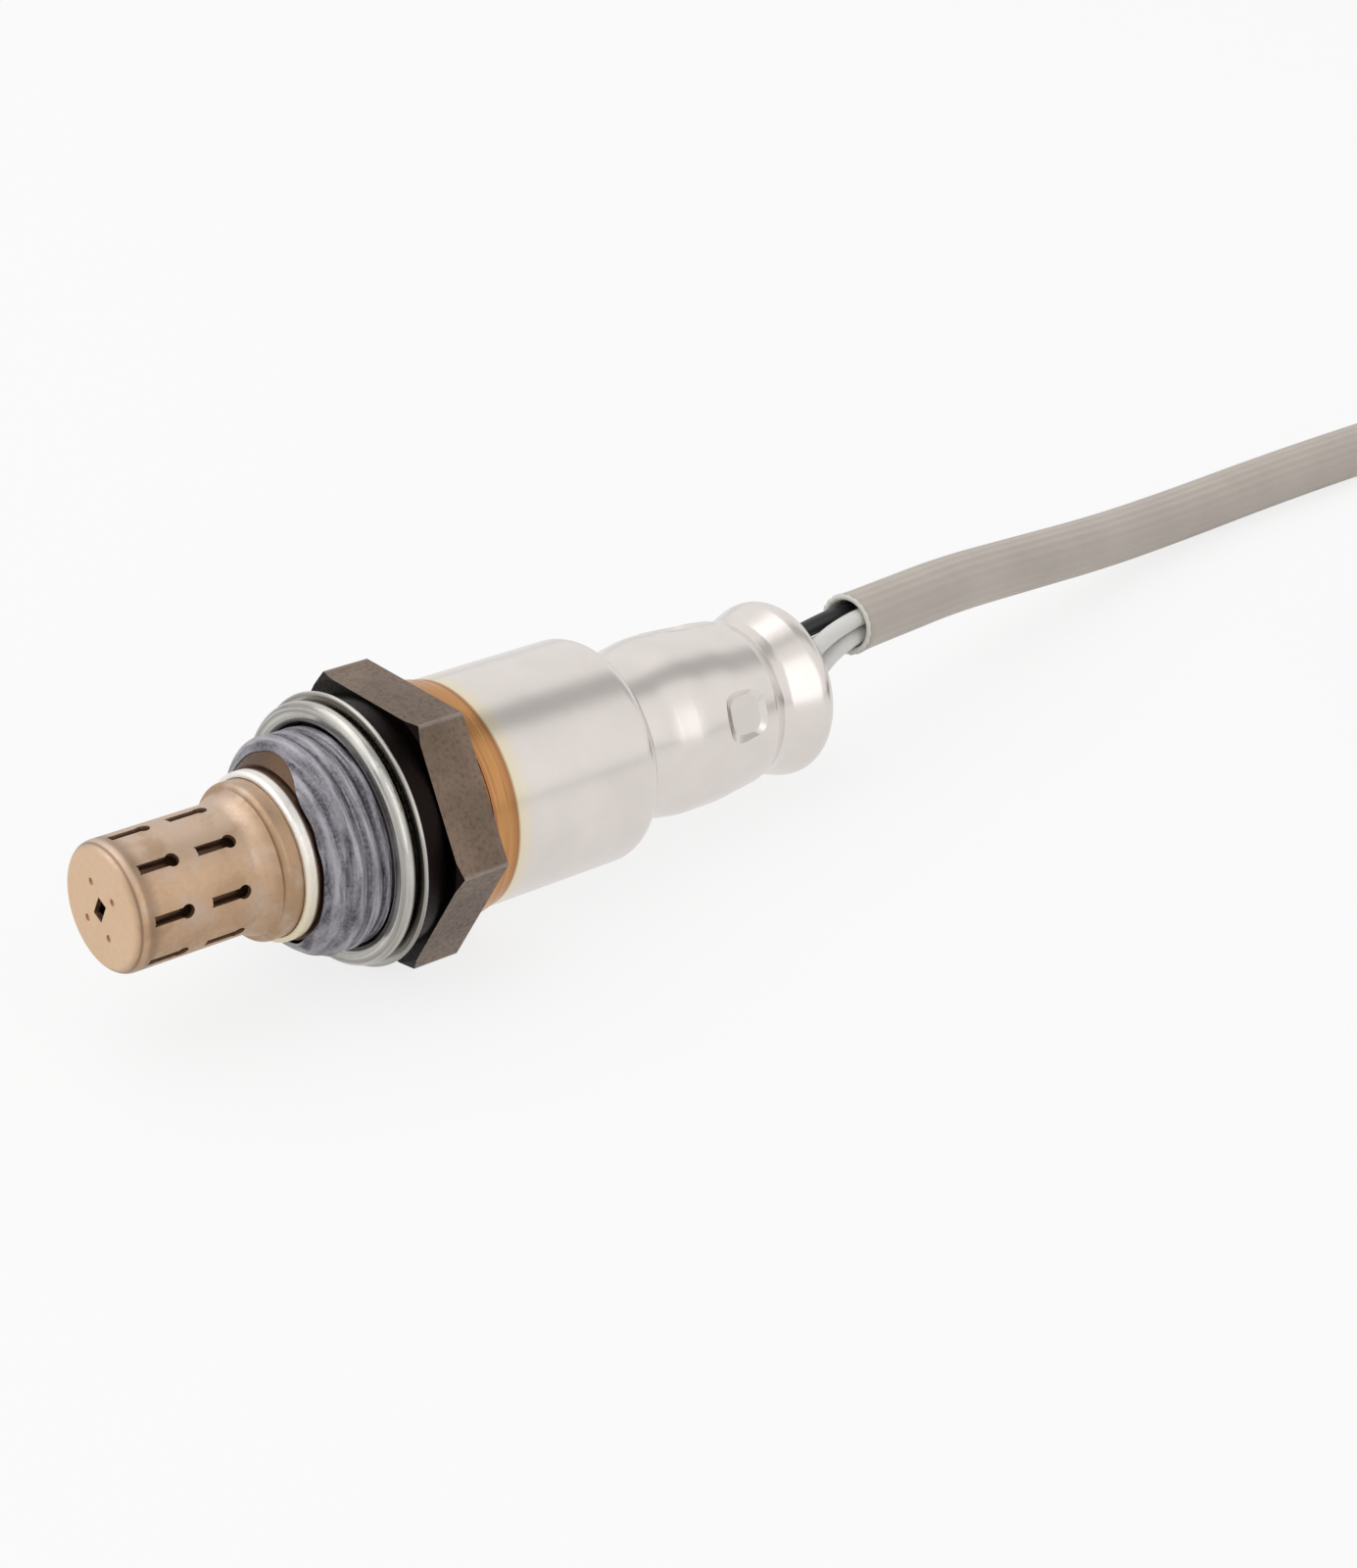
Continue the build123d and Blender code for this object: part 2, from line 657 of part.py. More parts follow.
def plug_body():
    """Moulded housing: ribbed block, narrower nose, stepped terminal ways, sprung latch."""
    body = block(0, nose_root, plug_width, plug_height)
    body = fillet(body.edges().filter_by(Axis.X), plug_edge)
    nose = fillet(block(nose_root - 1, nose_end, plug_nose_width, plug_nose_height)
                  .edges().filter_by(Axis.X), plug_edge)
    body += nose
    deck = Pos(0, 0, plug_height / 2)
    above = deck * Pos(0, 0, latch_gap + latch_thickness / 2)
    body += deck * block(1.0, 3.4, latch_width, 2 * latch_gap + latch_thickness)
    body += above * block(1.0, latch_length, latch_width, latch_thickness)
    body += above * block(latch_length - 3.0, latch_length, latch_width + 2.0, latch_thickness)
    body -= block(0, 2.2, plug_width + 1, plug_height + 1) - fillet(
        block(-1, 3, plug_width - 1.4, plug_height - 1.4).edges().filter_by(Axis.X), plug_edge)
    for y, z in plug_spots():
        way = along_plug(-1, plug_seal_depth, plug_wire_hole)
        way += block(plug_seal_depth - 0.1, nose_end - plug_face_wall, plug_cavity, plug_cavity)
        way += block(nose_root, nose_end + 1, plug_pin_way, plug_pin_way)
        body -= Pos(0, y, z) * way
    lock_way = block(lock_front - fit_gap, lock_front + lock_thickness + fit_gap,
                     plug_nose_width + 2 * fit_gap, (plug_height + plug_nose_height) / 2)
    body -= Pos(0, 0, (plug_height - plug_nose_height) / 4) * lock_way
    return body


def terminal_lock():
    """Comb that slides in from above and locks the four terminals."""
    low, high = -plug_nose_height / 2, plug_height / 2
    plate = Pos(0, 0, (low + high) / 2 + 0.1) * block(
        lock_front, lock_front + lock_thickness, plug_nose_width, high - low - 0.2)
    ways = [Pos(0, y, z) * block(lock_front - 1, lock_front + lock_thickness + 1,
                                 plug_cavity, plug_cavity) for y, z in plug_spots()]
    return plate - ways


def nose_seal():
    """Ribbed rubber ring round the root of the nose."""
    ring = block(nose_root, nose_root + nose_seal_width,
                 plug_nose_width + 2 * nose_seal_thickness,
                 plug_nose_height + 2 * nose_seal_thickness)
    ring = fillet(ring.edges().filter_by(Axis.X), plug_edge + nose_seal_thickness)
    hole = fillet(block(nose_root - 1, nose_root + nose_seal_width + 1,
                        plug_nose_width + 2 * fit_gap, plug_nose_height + 2 * fit_gap)
                  .edges().filter_by(Axis.X), plug_edge)
    return ring - hole


def wire_seals():
    """A ribbed seal round each wire in the plug's rear."""
    seals = []
    for y, z in plug_spots():
        seal = along_plug(0.3, plug_seal_depth - 0.2, plug_wire_hole - fit_gap)
        seal -= along_plug(0, plug_seal_depth, wire_radius + 0.03)
        seals.append(Pos(0, y, z) * seal)
    return Compound(seals)


def plug_terminals():
    """Box terminals, each crimped round its wire's end."""
    terminals = []
    box_front = plug_seal_depth + 3.0
    for y, z in plug_spots():
        crimp = block(plug_seal_depth + 0.2, box_front + 0.5, terminal_box, terminal_box)
        crimp -= along_plug(plug_seal_depth - 1, plug_seal_depth + 2.1, wire_radius + 0.03)
        box = block(box_front, box_front + terminal_box_length, terminal_box, terminal_box)
        box -= block(box_front + 1, box_front + terminal_box_length + 1,
                     terminal_socket, terminal_socket)
        terminals.append(Pos(0, y, z) * (crimp + box))
    return Compound(terminals)


# ---------------------------------------------------------------- everything in its place
at_plug = Pos(*plug_rear)
sensor = {
    "outer_protector": outer_protector(),
    "inner_protector": inner_protector(),
    "housing": housing(),
    "gasket": gasket(),
    "front_washer": front_washer(),
    "zirconia_element": zirconia_element(),
    "heater_rod": heater_rod(),
    "talc_ring": sleeve_in_chamber(flange_rear, talc_rear, element_tail_radius),
    "ceramic_bush": sleeve_in_chamber(talc_rear, ring_front, element_tail_radius + fit_gap),
    "crimp_ring": crimp_ring(),
    "outer_contact": outer_contact(),
    "inner_contact": inner_contact(),
    "heater_contact_a": heater_contact("heater_a"),
    "heater_contact_b": heater_contact("heater_b"),
    "ceramic_separator": separator(),
    "separator_clip": separator_clip(),
    "cover": cover(),
    "grommet": grommet(),
}
plug = {
    "plug_body": plug_body(),
    "terminal_lock": terminal_lock(),
    "nose_seal": nose_seal(),
    "wire_seals": wire_seals(),
    "plug_terminals": plug_terminals(),
}
cable = {
    "wire_black": cord(wire_route("signal"), wire_diameter),
    "wire_grey": cord(wire_route("ground"), wire_diameter),
    "wire_white_a": cord(wire_route("heater_a"), wire_diameter),
    "wire_white_b": cord(wire_route("heater_b"), wire_diameter),
    "wire_sleeve": cord(sleeve_route, sleeve_outer, sleeve_bore),
}

os.makedirs("parts", exist_ok=True)
nodes = {name: rest * solid for name, solid in sensor.items()}
nodes |= {name: at_plug * solid for name, solid in plug.items()}
nodes |= cable
for name, solid in nodes.items():
    export_step(solid, f"parts/{name}.step")
print(f"tilt {degrees(tilt):.3f} deg, axis height {lift:.3f}, middle {middle:.3f}")
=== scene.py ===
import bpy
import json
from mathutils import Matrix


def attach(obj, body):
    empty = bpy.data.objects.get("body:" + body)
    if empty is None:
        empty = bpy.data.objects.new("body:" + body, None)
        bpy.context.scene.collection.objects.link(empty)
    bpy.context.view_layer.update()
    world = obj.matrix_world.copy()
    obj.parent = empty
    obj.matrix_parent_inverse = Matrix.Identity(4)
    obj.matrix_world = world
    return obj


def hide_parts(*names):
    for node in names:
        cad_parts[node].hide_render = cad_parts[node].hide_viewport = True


bl_info = {
    "name": "Exhaust oxygen sensor",
    "version": (1, 0, 0),
    "blender": (4, 5, 0),
    "location": "3D View > Sidebar > Sensor",
    "description": "Finishes, thread, cable and studio for an exhaust oxygen sensor",
    "category": "Object",
}

import json
from math import cos, exp, pi, radians, sin

import bpy
from mathutils import Vector, noise

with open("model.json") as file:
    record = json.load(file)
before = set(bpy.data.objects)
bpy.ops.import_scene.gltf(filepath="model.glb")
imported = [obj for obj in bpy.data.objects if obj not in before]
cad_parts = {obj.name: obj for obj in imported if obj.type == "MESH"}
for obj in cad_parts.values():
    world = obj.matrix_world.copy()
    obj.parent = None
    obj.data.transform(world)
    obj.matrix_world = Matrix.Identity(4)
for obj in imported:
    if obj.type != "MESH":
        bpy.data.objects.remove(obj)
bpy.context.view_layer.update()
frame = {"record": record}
MM = 0.001

THREAD = next(m for m in frame["record"]["mounts"] if m["name"] == "thread")
AXIS = -Vector(THREAD["axis"]).normalized()
THREAD_MIDDLE = -6.0    # millimetres along the axis; the hexagon's front face is at 0
DATUM = Vector(THREAD["pos_m"]) - AXIS * THREAD_MIDDLE * MM
UP = Vector((0, -1, 0)).cross(AXIS).normalized()
FRONT = Vector((0, -1, 0))


def colour(red, green, blue):
    """A colour written as 0 to 255 screen values, turned into the linear values of a socket."""
    def linear(value):
        value /= 255
        return value / 12.92 if value <= 0.04045 else ((value + 0.055) / 1.055) ** 2.4

    return linear(red), linear(green), linear(blue)


def shaded(tone, share):
    """The same colour, darker below 1 and paler above."""
    return tuple(min(1.0, value * share) for value in tone)


def length_prop(name, description, default):
    """A length, kept in metres and with its default given in millimetres."""
    return bpy.props.FloatProperty(
        name=name, description=description, default=default * MM, min=0.0, max=1.0,
        precision=5, subtype="DISTANCE", unit="LENGTH")


def colour_prop(name, description, *default):
    """A colour, given as 0 to 255 screen values."""
    return bpy.props.FloatVectorProperty(
        name=name, description=description, default=colour(*default), min=0.0, max=1.0,
        size=3, subtype="COLOR")


# Places along the axis in millimetres, towards the cable from the hexagon's front face.
PROTECTOR_FRONT = -25.2
PROTECTOR_COLLAR = -13.2
LIP_FRONT = -10.8
LIP_REAR = -9.6
LEAD_IN_FRONT = -9.2
THREAD_REAR = -4.5
HEX_REAR = 4.75
COVER_FRONT = 5.5
WELD_REAR = 8.0
GROMMET_REAR = 42.1

# Radii in millimetres.
PROTECTOR_RADIUS = 5.4
LEAD_IN_RADIUS = 7.3
THREAD_RADIUS = 9.0


# ---------------------------------------------------------------- settings
class SensorSizes(bpy.types.PropertyGroup):
    """Sizes of what is added to the solids."""

    pitch: length_prop("Thread pitch", "Distance from one turn of the thread to the next", 1.5)
    paste: length_prop("Paste thickness", "Anti-seize paste in the grooves of the thread", 0.06)
    paste_ridge: length_prop("Paste ridge", "Height of the paste's turns over the grooves", 0.3)
    wire: length_prop("Wire diameter", "Across one insulated wire", 1.6)
    sleeve: length_prop("Sleeve diameter", "Across the ribbed sleeve", 5.6)
    sleeve_wall: length_prop("Sleeve wall", "Thickness of the sleeve's wall", 0.55)
    sleeve_rib: length_prop("Sleeve rib", "Half the height of the sleeve's lengthwise ribs", 0.045)
    ribs: bpy.props.IntProperty(
        name="Sleeve ribs", description="Number of ribs round the sleeve", default=20, min=0)


class SensorColours(bpy.types.PropertyGroup):
    """Base colours of the finishes."""

    protector: colour_prop("Protector", "Heat-tinted drawn steel", 203, 171, 140)
    # Heat tint in patches. The same colour is also painted shade on the protector's underside and
    # in a band behind its tip edge.
    protector_tint_and_shade: colour_prop("Protector tint", "Darker heat tint in patches", 170, 140, 112)
    # Greyer tone: it appears in random patches and as a painted reflection along the top.
    protector_grey_and_top_reflection: colour_prop("Protector top", "Greyer tint along the top", 196, 176, 160)
    # Painted light: this paler tone stands for light falling on the end face.
    protector_end_light: colour_prop("Protector end", "Paler tint of the end face", 226, 194, 162)
    # Painted shade: this dark colour stands for the shade inside the protector and on the inner
    # cup behind the louvres.
    inside_shade: colour_prop("Soot", "Dark deposit inside the louvres", 124, 90, 66)
    housing: colour_prop("Housing", "Brown heat-tinted turned steel", 130, 112, 98)
    # Dark oxide in specks. It is also painted shadow ahead of the hexagon, between the hexagon and
    # the gasket.
    housing_oxide_and_shadow: colour_prop("Housing oxide", "Black oxide ahead of the hexagon", 30, 24, 22)
    neck: colour_prop("Neck", "Brown tint of the bare lead-in cone", 96, 76, 62)
    # Bright turned steel. It is also a painted highlight along the top of the lip ring.
    lip: colour_prop("Nose lip", "Bright turned steel round the protector", 238, 234, 228)
    weld: colour_prop("Weld", "Golden tint of the weld", 206, 152, 96)
    weld_dark: colour_prop("Weld edge", "Brown tint at the weld's edges", 160, 112, 76)
    straw: colour_prop("Straw tint", "Pale tint beside the weld", 226, 214, 186)
    gasket: colour_prop("Gasket", "Bright folded sheet", 214, 212, 206)
    gasket_dark: colour_prop("Gasket marks", "Darker rings on the folded sheet", 140, 136, 130)
    paste: colour_prop("Paste", "Grey anti-seize paste", 168, 165, 173)
    # Painted shade: the darker colour of the paste in the thread's grooves.
    paste_groove_shade: colour_prop("Paste in the grooves", "Paste where it lies deep", 48, 46, 50)
    cover: colour_prop("Cover", "Satin stainless steel", 225, 218, 213)
    inner: colour_prop("Inner steel", "Bare drawn steel", 196, 194, 190)
    ceramic: colour_prop("Ceramic", "Matt white ceramic", 232, 229, 220)
    rubber: colour_prop("Rubber", "Black rubber", 34, 34, 35)
    black: colour_prop("Black insulation", "Signal wire", 26, 26, 28)
    grey: colour_prop("Grey insulation", "Ground wire", 150, 150, 152)
    white: colour_prop("White insulation", "Heater wires", 232, 230, 226)
    sleeve: colour_prop("Sleeve", "Beige-grey sleeve", 199, 189, 179)
    lining: colour_prop("Sleeve lining", "Cream inside of the sleeve", 240, 238, 230)
    plug: colour_prop("Plug", "Black moulded plastic", 38, 38, 40)
    lock: colour_prop("Terminal lock", "Grey moulded plastic", 150, 152, 150)
    seal: colour_prop("Seal", "Brick-red silicone", 150, 70, 52)
    brass: colour_prop("Terminals", "Plated brass", 206, 178, 112)


class SensorStage(bpy.types.PropertyGroup):
    """Camera, lights and floor."""

    camera_place: bpy.props.FloatVectorProperty(
        name="Camera place", description="Where the camera stands", size=3, precision=5,
        default=(-0.140134, -0.182958, 0.137161), subtype="TRANSLATION", unit="LENGTH")
    camera_turn: bpy.props.FloatVectorProperty(
        name="Camera turn", description="Rotation of the camera", size=3,
        default=(radians(61.25616), radians(-0.45255), radians(-41.56822)), subtype="EULER")
    lens: bpy.props.FloatProperty(
        name="Lens", description="Focal length", default=72.06, min=10, unit="CAMERA")
    key: bpy.props.FloatProperty(
        name="Key light", description="Power of the large soft light", default=6.0, unit="POWER")
    fill: bpy.props.FloatProperty(
        name="Fill light", description="Power of the weaker soft light", default=1.3, unit="POWER")
    sky: bpy.props.FloatProperty(
        name="Sky", description="Strength of the even light from all round", default=0.55)
    gap_place: bpy.props.FloatProperty(
        name="Gap place", description="Sideways direction of the dim gap overhead", default=-0.04)
    gap_width: bpy.props.FloatProperty(
        name="Gap width", description="Half width of the dim gap overhead", default=0.3, min=0.01)
    gap_depth: bpy.props.FloatProperty(
        name="Gap depth", description="How much dimmer the gap is than the rest", default=0.47,
        min=0.0, max=1.0)
    floor: colour_prop("Floor", "Plain pale floor", 245, 245, 245)


def settings(context):
    """The sizes and the colours that the pieces are made with."""
    return context.scene.sensor_sizes, context.scene.sensor_colours


# ---------------------------------------------------------------- mesh helpers
def axial(along, radius, turn):
    """Point in metres: along the axis and out from it in millimetres, turn from up to front."""
    return DATUM + AXIS * along * MM + (UP * cos(turn) + FRONT * sin(turn)) * radius * MM


def add_piece(name, points, faces):
    """Mesh object that rides on the sensor's one body."""
    mesh = bpy.data.meshes.new(name)
    mesh.from_pydata([tuple(p) for p in points], [], faces)
    mesh.validate()
    mesh.polygons.foreach_set("use_smooth", [True] * len(mesh.polygons))
    mesh.update()
    piece = bpy.data.objects.new(name, mesh)
    bpy.context.scene.collection.objects.link(piece)
    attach(piece, "root")
    return piece


def grid_faces(rows, columns):
    """Quads over a grid of points stored row by row, closed round each row."""
    faces = []
    for row in range(rows - 1):
        for column in range(columns):
            a = row * columns + column
            b = row * columns + (column + 1) % columns
            faces.append((a, b, b + columns, a + columns))
    return faces


def run_length(line):
    """Length of a line of points."""
    return sum((b - a).length for a, b in zip(line, line[1:]))


def spline(name, points, width=0.0):
    """Smooth curve through the middles of the runs between its points, in metres.

    The tube's radius stands on the points and its bevel is 1, so the curve's box fits it.
    """
    data = bpy.data.curves.new(name, "CURVE")
    data.dimensions = "3D"
    data.resolution_u = 8
    data.bevel_depth = 1.0 if width else 0.0
    data.bevel_resolution = 6
    data.use_fill_caps = True
    line = data.splines.new("NURBS")
    line.points.add(len(points) - 1)
    for place, point in zip(line.points, points):
        place.co = (*point, 1)
        place.radius = width / 2
    line.order_u = 3
    line.use_endpoint_u = True
    line.use_smooth = True
    curve = bpy.data.objects.new(name, data)
    bpy.context.scene.collection.objects.link(curve)
    return curve


def centre_line(points):
    """Points read off the smooth curve."""
    curve = spline("route", points)
    bpy.context.view_layer.update()
    evaluated = curve.evaluated_get(bpy.context.evaluated_depsgraph_get())
    mesh = bpy.data.meshes.new_from_object(evaluated)
    line = [v.co.copy() for v in mesh.vertices]
    bpy.data.objects.remove(curve)
    bpy.data.meshes.remove(mesh)
    return line


def resampled(line, step):
    """The same line at even steps."""
    total = run_length(line)
    count = max(2, round(total / step))
    marks, walked, index = [line[0].copy()], 0.0, 0
    for n in range(1, count):
        target = total * n / count
        while walked + (line[index + 1] - line[index]).length < target:
            walked += (line[index + 1] - line[index]).length
            index += 1
        run = line[index + 1] - line[index]
        marks.append(line[index] + run * ((target - walked) / run.length))
    marks.append(line[-1].copy())
    return marks


def frames_along(line):
    """Side and lift directions carried along the line without twist."""
    runs = [(b - a).normalized() for a, b in zip(line, line[1:])]
    ways = [runs[0]] + [(a + b).normalized() for a, b in zip(runs, runs[1:])] + [runs[-1]]
    side = ways[0].cross(Vector((0, 0, 1))).normalized()
    found = []
    for before, way in zip([ways[0]] + ways, ways):
        side = before.rotation_difference(way) @ side
        side = (side - way * side.dot(way)).normalized()
        found.append((way, side, side.cross(way)))
    return found


# ---------------------------------------------------------------- shader helpers
def link(tree, source, target):
    tree.links.new(source, target)


def node(tree, kind, inputs=None, **settings_):
    """A node with its properties set and its inputs given as values or as sockets."""
    made = tree.nodes.new(kind)
    for key, value in settings_.items():
        setattr(made, key, value)
    for key, value in (inputs or {}).items():
        if isinstance(value, bpy.types.NodeSocket):
            link(tree, value, made.inputs[key])
        else:
            made.inputs[key].default_value = value
    return made


def maths(tree, operation, *values, clamp=False):
    made = node(tree, "ShaderNodeMath", dict(enumerate(values)), operation=operation)
    made.use_clamp = clamp
    return made.outputs[0]


def mixed(tree, factor, first, second):
    """Colour mix of two colours or sockets."""
    made = node(tree, "ShaderNodeMix", data_type="RGBA", blend_type="MIX")
    for index, value in ((0, factor), (6, first), (7, second)):
        if isinstance(value, bpy.types.NodeSocket):
            link(tree, value, made.inputs[index])
        elif index:
            made.inputs[index].default_value = (*value[:3], 1)
        else:
            made.inputs[index].default_value = value
    return made.outputs[2]


def span(tree, value, low, high, out_low=0.0, out_high=1.0, smooth=False):
    """Value mapped from one span to another and held at its ends."""
    made = node(tree, "ShaderNodeMapRange",
                {"Value": value, "From Min": low, "From Max": high, "To Min": out_low,
                 "To Max": out_high},
                interpolation_type="SMOOTHSTEP" if smooth else "LINEAR")
    return made.outputs["Result"]


def new_group(name, inputs, outputs):
    """Empty shader node group with named sockets: (name, kind, default)."""
    group = bpy.data.node_groups.new(name, "ShaderNodeTree")
    for label, kind, default in inputs:
        made = group.interface.new_socket(label, in_out="INPUT", socket_type=kind)
        if default is not None:
            made.default_value = default
    for label, kind in outputs:
        group.interface.new_socket(label, in_out="OUTPUT", socket_type=kind)
    return group, group.nodes.new("NodeGroupInput"), group.nodes.new("NodeGroupOutput")


def axis_group():
    """Place on the sensor: millimetres along its axis and out from it, and the angle."""
    group, given, result = new_group(
        "Sensor place", [("Vector", "NodeSocketVector", None)],
        [("Along", "NodeSocketFloat"), ("Out", "NodeSocketFloat"), ("Turn", "NodeSocketFloat")])
    shifted = node(group, "ShaderNodeVectorMath", {0: given.outputs[0], 1: tuple(DATUM)},
                   operation="SUBTRACT").outputs[0]
    parts = []
    for way in (AXIS, UP, FRONT):
        made = node(group, "ShaderNodeVectorMath", {0: shifted, 1: tuple(way / MM)},
                    operation="DOT_PRODUCT")
        parts.append(made.outputs["Value"])
    square = maths(group, "ADD", maths(group, "MULTIPLY", parts[1], parts[1]),
                   maths(group, "MULTIPLY", parts[2], parts[2]))
    link(group, parts[0], result.inputs["Along"])
    link(group, maths(group, "SQRT", square), result.inputs["Out"])
    link(group, maths(group, "ARCTAN2", parts[2], parts[1]), result.inputs["Turn"])
    return group


def mottle_group():
    """Soft patches, and fine specks, as two masks."""
    group, given, result = new_group(
        "Mottle", [("Vector", "NodeSocketVector", None), ("Patch scale", "NodeSocketFloat", 180.0),
                   ("Speck scale", "NodeSocketFloat", 2600.0)],
        [("Patches", "NodeSocketFloat"), ("Specks", "NodeSocketFloat")])
    for label, scale, detail in (("Patches", "Patch scale", 4.0), ("Specks", "Speck scale", 2.0)):
        made = node(group, "ShaderNodeTexNoise",
                    {"Vector": given.outputs["Vector"], "Scale": given.outputs[scale],
                     "Detail": detail, "Roughness": 0.6})
        link(group, span(group, made.outputs["Fac"], 0.3, 0.7), result.inputs[label])
    return group


def turning_group():
    """Fine rings left by a lathe or a draw: a height that varies along the axis."""
    group, given, result = new_group(
        "Turning marks", [("Along", "NodeSocketFloat", 0.0), ("Turn", "NodeSocketFloat", 0.0),
                          ("Marks per mm", "NodeSocketFloat", 6.0)],
        [("Height", "NodeSocketFloat")])
    along = maths(group, "MULTIPLY", given.outputs["Along"], given.outputs["Marks per mm"])
    made = node(group, "ShaderNodeCombineXYZ",
                {0: along, 1: maths(group, "MULTIPLY", given.outputs["Turn"], 0.35)})
    rings = node(group, "ShaderNodeTexNoise",
                 {"Vector": made.outputs[0], "Scale": 1.0, "Detail": 3.0, "Roughness": 0.65})
    link(group, rings.outputs["Fac"], result.inputs["Height"])
    return group


def turns_group():
    """Mask of a thread's crests: 1 on each crest and 0 in each groove."""
    group, given, result = new_group(
        "Thread turns", [("Along", "NodeSocketFloat", 0.0), ("Turn", "NodeSocketFloat", 0.0),
                         ("Pitch", "NodeSocketFloat", 1.5)],
        [("Crest", "NodeSocketFloat")])
    turns = maths(group, "DIVIDE", given.outputs["Along"], given.outputs["Pitch"])
    phase = maths(group, "SUBTRACT", maths(group, "MULTIPLY", turns, 2 * pi),
                  given.outputs["Turn"])
    wave = maths(group, "MULTIPLY_ADD", maths(group, "COSINE", phase), 0.5, 0.5)
    link(group, wave, result.inputs["Crest"])
    return group


MAKERS = {"Sensor place": axis_group, "Mottle": mottle_group, "Turning marks": turning_group,
          "Thread turns": turns_group}


def effect(tree, name, **inputs):
    """A shared effect placed in a material, with its inputs given as values or sockets."""
    group = bpy.data.node_groups.get(name) or MAKERS[name]()
    made = tree.nodes.new("ShaderNodeGroup")
    made.node_tree = group
    made.label = name
    for key, value in inputs.items():
        socket = made.inputs[key.replace("_", " ")]
        if isinstance(value, bpy.types.NodeSocket):
            link(tree, value, socket)
        else:
            socket.default_value = value
    return made.outputs


class Finish:
    """One material: its tree, its shader and the places that effects start from."""

    def __init__(self, name, **sockets):
        self.material = bpy.data.materials.new(name)
        self.material.use_nodes = True
        self.tree = self.material.node_tree
        self.shader = self.tree.nodes["Principled BSDF"]
        for key, value in sockets.items():
            self.shader.inputs[key.replace("_", " ")].default_value = value
        self.place = node(self.tree, "ShaderNodeTexCoord").outputs["Object"]

    def base(self, value):
        if isinstance(value, bpy.types.NodeSocket):
            link(self.tree, value, self.shader.inputs["Base Color"])
        else:
            self.shader.inputs["Base Color"].default_value = (*value, 1)

    def feed(self, socket, value):
        link(self.tree, value, self.shader.inputs[socket])

    def bump(self, height, distance, strength=1.0):
        made = node(self.tree, "ShaderNodeBump",
                    {"Height": height, "Distance": distance, "Strength": strength})
        before = self.shader.inputs["Normal"]
        if before.is_linked:
            link(self.tree, before.links[0].from_socket, made.inputs["Normal"])
        link(self.tree, made.outputs["Normal"], before)

    def on(self, *names):
        """Puts the finish on pieces or solids."""
        for name in names:
            piece = name if isinstance(name, bpy.types.Object) else bpy.data.objects[name]
            piece.data.materials.clear()
            piece.data.materials.append(self.material)
        return self.material


def mottled(name, tone, roughness, share, shade, grain=0.0, strength=0.0, patches=180.0,
            metal=0.0):
    """Plain finish with softly shaded patches and, where grain is given, a fine grain."""
    made = Finish(name, Roughness=roughness, Metallic=metal)
    patch = effect(made.tree, "Mottle", Vector=made.place, Patch_scale=patches)
    made.base(mixed(made.tree, maths(made.tree, "MULTIPLY", patch["Patches"], share), tone,
                    shaded(tone, shade)))
    if grain:
        made.bump(patch["Specks"], grain, strength)
    return made


def drawn_steel(name, tone, tint, roughness, marks=5.0):
    """Drawn or turned steel with fine rings, soft patches and a second tone in them."""
    made = Finish(name, Metallic=1.0, Roughness=roughness)
    tree = made.tree
    place = effect(tree, "Sensor place", Vector=made.place)
    rings = effect(tree, "Turning marks", Along=place["Along"], Turn=place["Turn"],
                   Marks_per_mm=marks)["Height"]
    patch = effect(tree, "Mottle", Vector=made.place)
    made.base(mixed(tree, maths(tree, "MULTIPLY", patch["Patches"], 0.55), tone, tint))
    made.feed("Roughness", span(tree, maths(tree, "ADD", rings, patch["Specks"]), 0.4, 1.4,
                                roughness - 0.07, roughness + 0.1))
    made.bump(rings, 0.00002, 0.35)
    return made, place, patch


